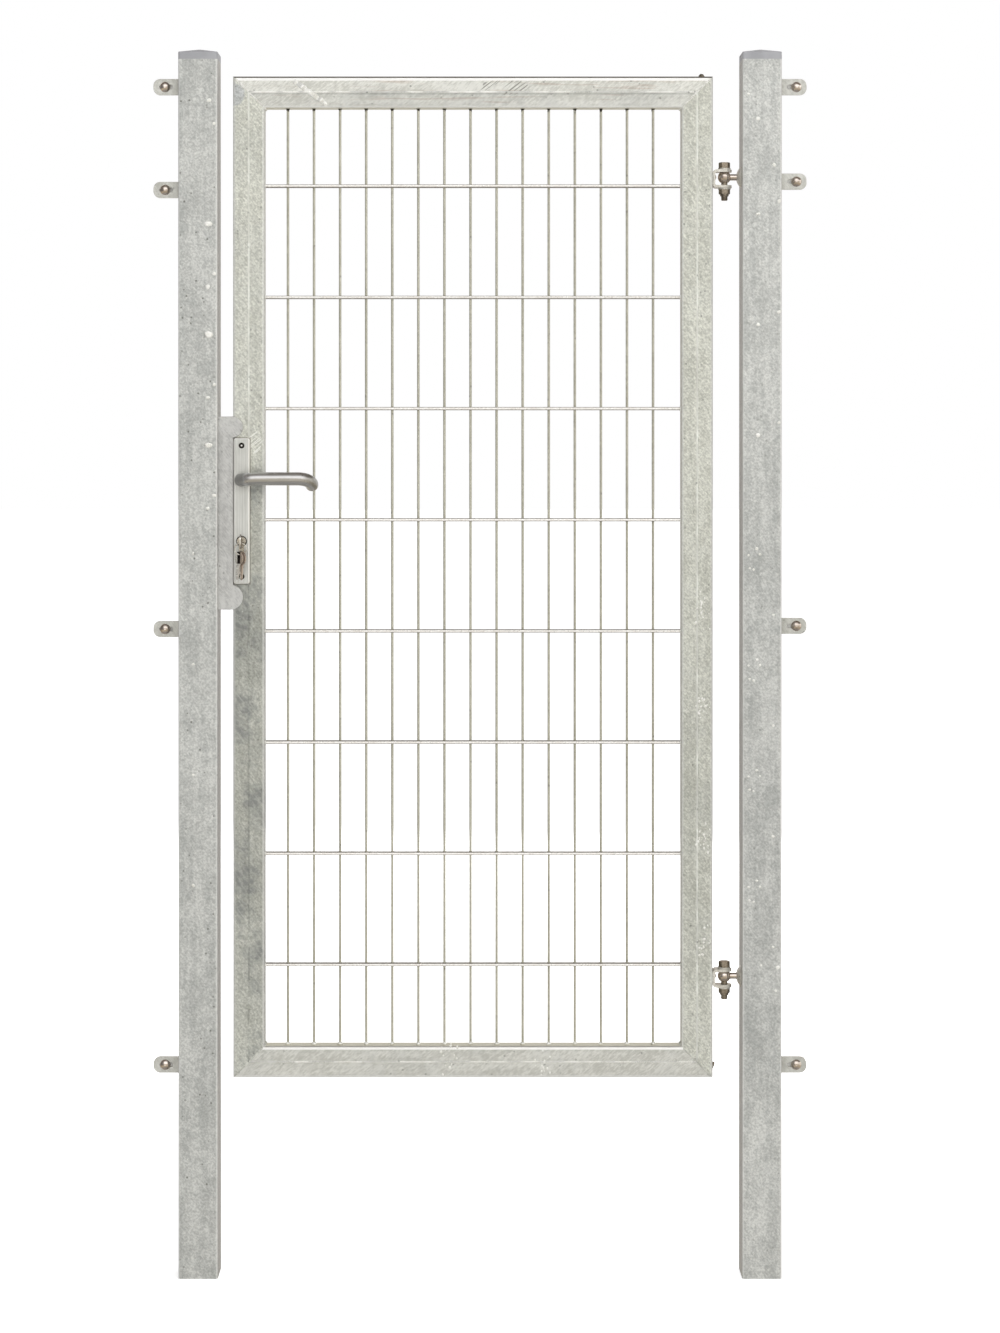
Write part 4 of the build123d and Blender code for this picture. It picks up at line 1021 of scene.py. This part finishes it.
bm = bmesh.new()
for node in ("upper_hinge_clevis", "lower_hinge_clevis"):
    low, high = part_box(node)
    foot, head = low.z + CLEVIS_CORNER, high.z - CLEVIS_CORNER
    for y, out in ((low.y, -1.0), (high.y, 1.0)):
        bead(bm, (low.x, y, foot), (low.x, y, head), (1.0, out, 0.0), *FILLET)
place_piece("clevis_welds", bm, "weld_zinc", "leaf")

# %% [markdown]
# ## Threads
# Each hinge pin and each clamp bolt ends in a few turns of thread behind its nut. Rings would look right
# from afar, but a real thread climbs, so a small triangle is wound round the plain end.

# %% Bolt threads
PIN_RADIUS, PIN_PITCH = 0.006, 0.00175
CLAMP_RADIUS, CLAMP_PITCH = 0.004, 0.00125

bolts, nuts = solid_boxes("hinge_pin_bolts"), solid_boxes("hinge_pin_nuts")
bm = bmesh.new()
for (low, _), (nut_low, nut_high) in zip(bolts, nuts):
    middle = (nut_low + nut_high) / 2
    thread(bm, (middle.x, middle.y, low.z), (0, 0, 1), nut_low.z - low.z, PIN_RADIUS, PIN_PITCH)
place_piece("pin_threads", bm, "bolt_zinc", "leaf")

bolts, nuts = solid_boxes("fence_clamp_bolts"), solid_boxes("fence_clamp_nuts")
bm = bmesh.new()
for (_, high), (nut_low, nut_high) in zip(bolts, nuts):
    middle = (nut_low + nut_high) / 2
    start = (middle.x, nut_high.y, middle.z)
    thread(bm, start, (0, 1, 0), high.y - nut_high.y, CLAMP_RADIUS, CLAMP_PITCH)
place_piece("clamp_threads", bm, "bolt_zinc", "posts")

# %% [markdown]
# ## Frozen drops on the posts
# When a dipped part is pulled out of the bath, zinc runs to its lower edge and freezes there in drops.
# The posts carry groups of them on the front, one below the other at even steps, and smaller ones
# anywhere on the back and the outer sides. Painted spots would stay flat in raking light, so they are
# real bumps, flattened on the face.

# %% Drops
DROP_HEIGHT = 0.0007
DROP_STEP = 0.211
DROP_GROUPS = (
    # post, first height, how often below it, drops: across the face, below the height, half width
    (LOCK_POST, 2.246, 1, ((0.021, 0.0, 0.004), (0.031, 0.044, 0.0035))),
    (LOCK_POST, 2.011, 3, ((0.020, 0.0, 0.0078), (0.031, 0.095, 0.0043), (0.019, 0.120, 0.0043))),
    (LOCK_POST, 1.383, 4, ((-0.009, 0.0, 0.003),)),
    (HINGE_POST, 2.258, 1, ((-0.026, 0.0, 0.0032), (-0.008, 0.047, 0.0045), (0.023, 0.135, 0.004))),
    (HINGE_POST, 2.054, 3, ((0.032, 0.0, 0.004), (-0.008, 0.024, 0.0043))),
    (HINGE_POST, 1.392, 4, ((-0.010, 0.0, 0.0031), (-0.026, 0.012, 0.0027), (-0.004, 0.011, 0.0026))),
    (HINGE_POST, 1.355, 4, ((-0.024, 0.0, 0.0029), (-0.016, 0.003, 0.0027), (0.021, 0.089, 0.003))),
    (HINGE_POST, 0.598, 1, ((-0.002, 0.0, 0.003), (0.030, 0.004, 0.0035), (0.026, 0.048, 0.003))),
)
DROPS_A_FACE = 16
BACK_DROP, SIDE_DROP = (0.0022, 0.0052), (0.002, 0.004)
FACE_SHARE = 0.8
dice = random.Random(12)

bm = bmesh.new()
for side, first, count, drops in DROP_GROUPS:
    low, high = posts[side]
    middle = (low.x + high.x) / 2
    for step in range(count):
        for across, below, width in drops:
            place = (middle + across, low.y, first - below - step * DROP_STEP)
            length = width * dice.uniform(0.75, 1.1)
            blob(bm, place, (width * dice.uniform(0.9, 1.1), DROP_HEIGHT, length), uneven=0.5)
for side, (low, high) in posts.items():
    middle = (low + high) / 2
    reach = FACE_SHARE * (high.x - low.x) / 2
    for i in range(DROPS_A_FACE):
        z = low.z + (high.z - low.z) * (i + dice.random()) / DROPS_A_FACE
        width = dice.uniform(*BACK_DROP)
        length = width * dice.uniform(1.0, 1.5)
        x = middle.x + dice.uniform(-reach, reach)
        blob(bm, (x, high.y, z), (width, DROP_HEIGHT, length), uneven=0.7)
        z = low.z + (high.z - low.z) * dice.random()
        y = middle.y + dice.uniform(-reach, reach)
        width = dice.uniform(*SIDE_DROP)
        blob(bm, (outer_faces[side], y, z), (DROP_HEIGHT, width, width * 1.3), uneven=0.7)
place_piece("post_drops", bm, "seam_zinc", "posts")

# %% [markdown]
# ## Splashes, a run and stumps on the leaf
# On the leaf the bath left clusters of small splashes, one pale run slanting across the top rail, and two
# stumps where it hung from wires. The run is a wavy, very low bead with a drop at its end, and the rest
# are uneven balls, so no new tool is needed.

# %% Splashes, run and stumps
SPLASHES = ((0.426, 1.275), (0.424, 1.095), (0.426, 0.838), (0.423, 0.640), (-0.06, 0.425), (0.12, 0.400))
SPLASHES_A_CLUSTER = 18
SPLASH_HEIGHT = 0.0005
SPLASH_WIDTHS = (0.0008, 0.0026)
SPREAD_ACROSS, SPREAD_DOWN = 0.007, 0.016
FACE_MARGIN = 0.006
RUN = (0.0090, 0.0003, 0.004, 0.9)
RUN_ENDS = ((0.117, 0.009), (0.176, 0.052))
RUN_DROP = (0.0042, DROP_HEIGHT, 0.0042)
STUMPS = (
    # place, radii
    ((leaf_right - 0.021, -0.006, leaf_top), (0.006, 0.005, 0.0055)),
    ((leaf_right, -0.010, leaf_foot + 0.023), (0.004, 0.004, 0.006)),
)

bm = bmesh.new()
for x, z in SPLASHES:
    for _ in range(SPLASHES_A_CLUSTER):
        place_x = min(x + dice.gauss(0.0, SPREAD_ACROSS), leaf_right - FACE_MARGIN)
        place_z = max(z + dice.gauss(0.0, SPREAD_DOWN), leaf_foot + FACE_MARGIN)
        width = dice.uniform(*SPLASH_WIDTHS)
        blob(bm, (place_x, tube_front, place_z), (width, SPLASH_HEIGHT, width * 1.2), uneven=0.6)
place_piece("zinc_splashes", bm, "seam_zinc", "leaf")

bm = bmesh.new()
start, end = [(leaf_left + across, tube_front, leaf_top - below) for across, below in RUN_ENDS]
bead(bm, start, end, FRONT, *RUN)
blob(bm, end, RUN_DROP, uneven=0.5)
place_piece("top_rail_run", bm, "seam_zinc", "leaf")

bm = bmesh.new()
for place, radii in STUMPS:
    blob(bm, place, radii, uneven=0.5, subdivisions=3)
place_piece("hanging_stumps", bm, "bolt_zinc", "leaf")
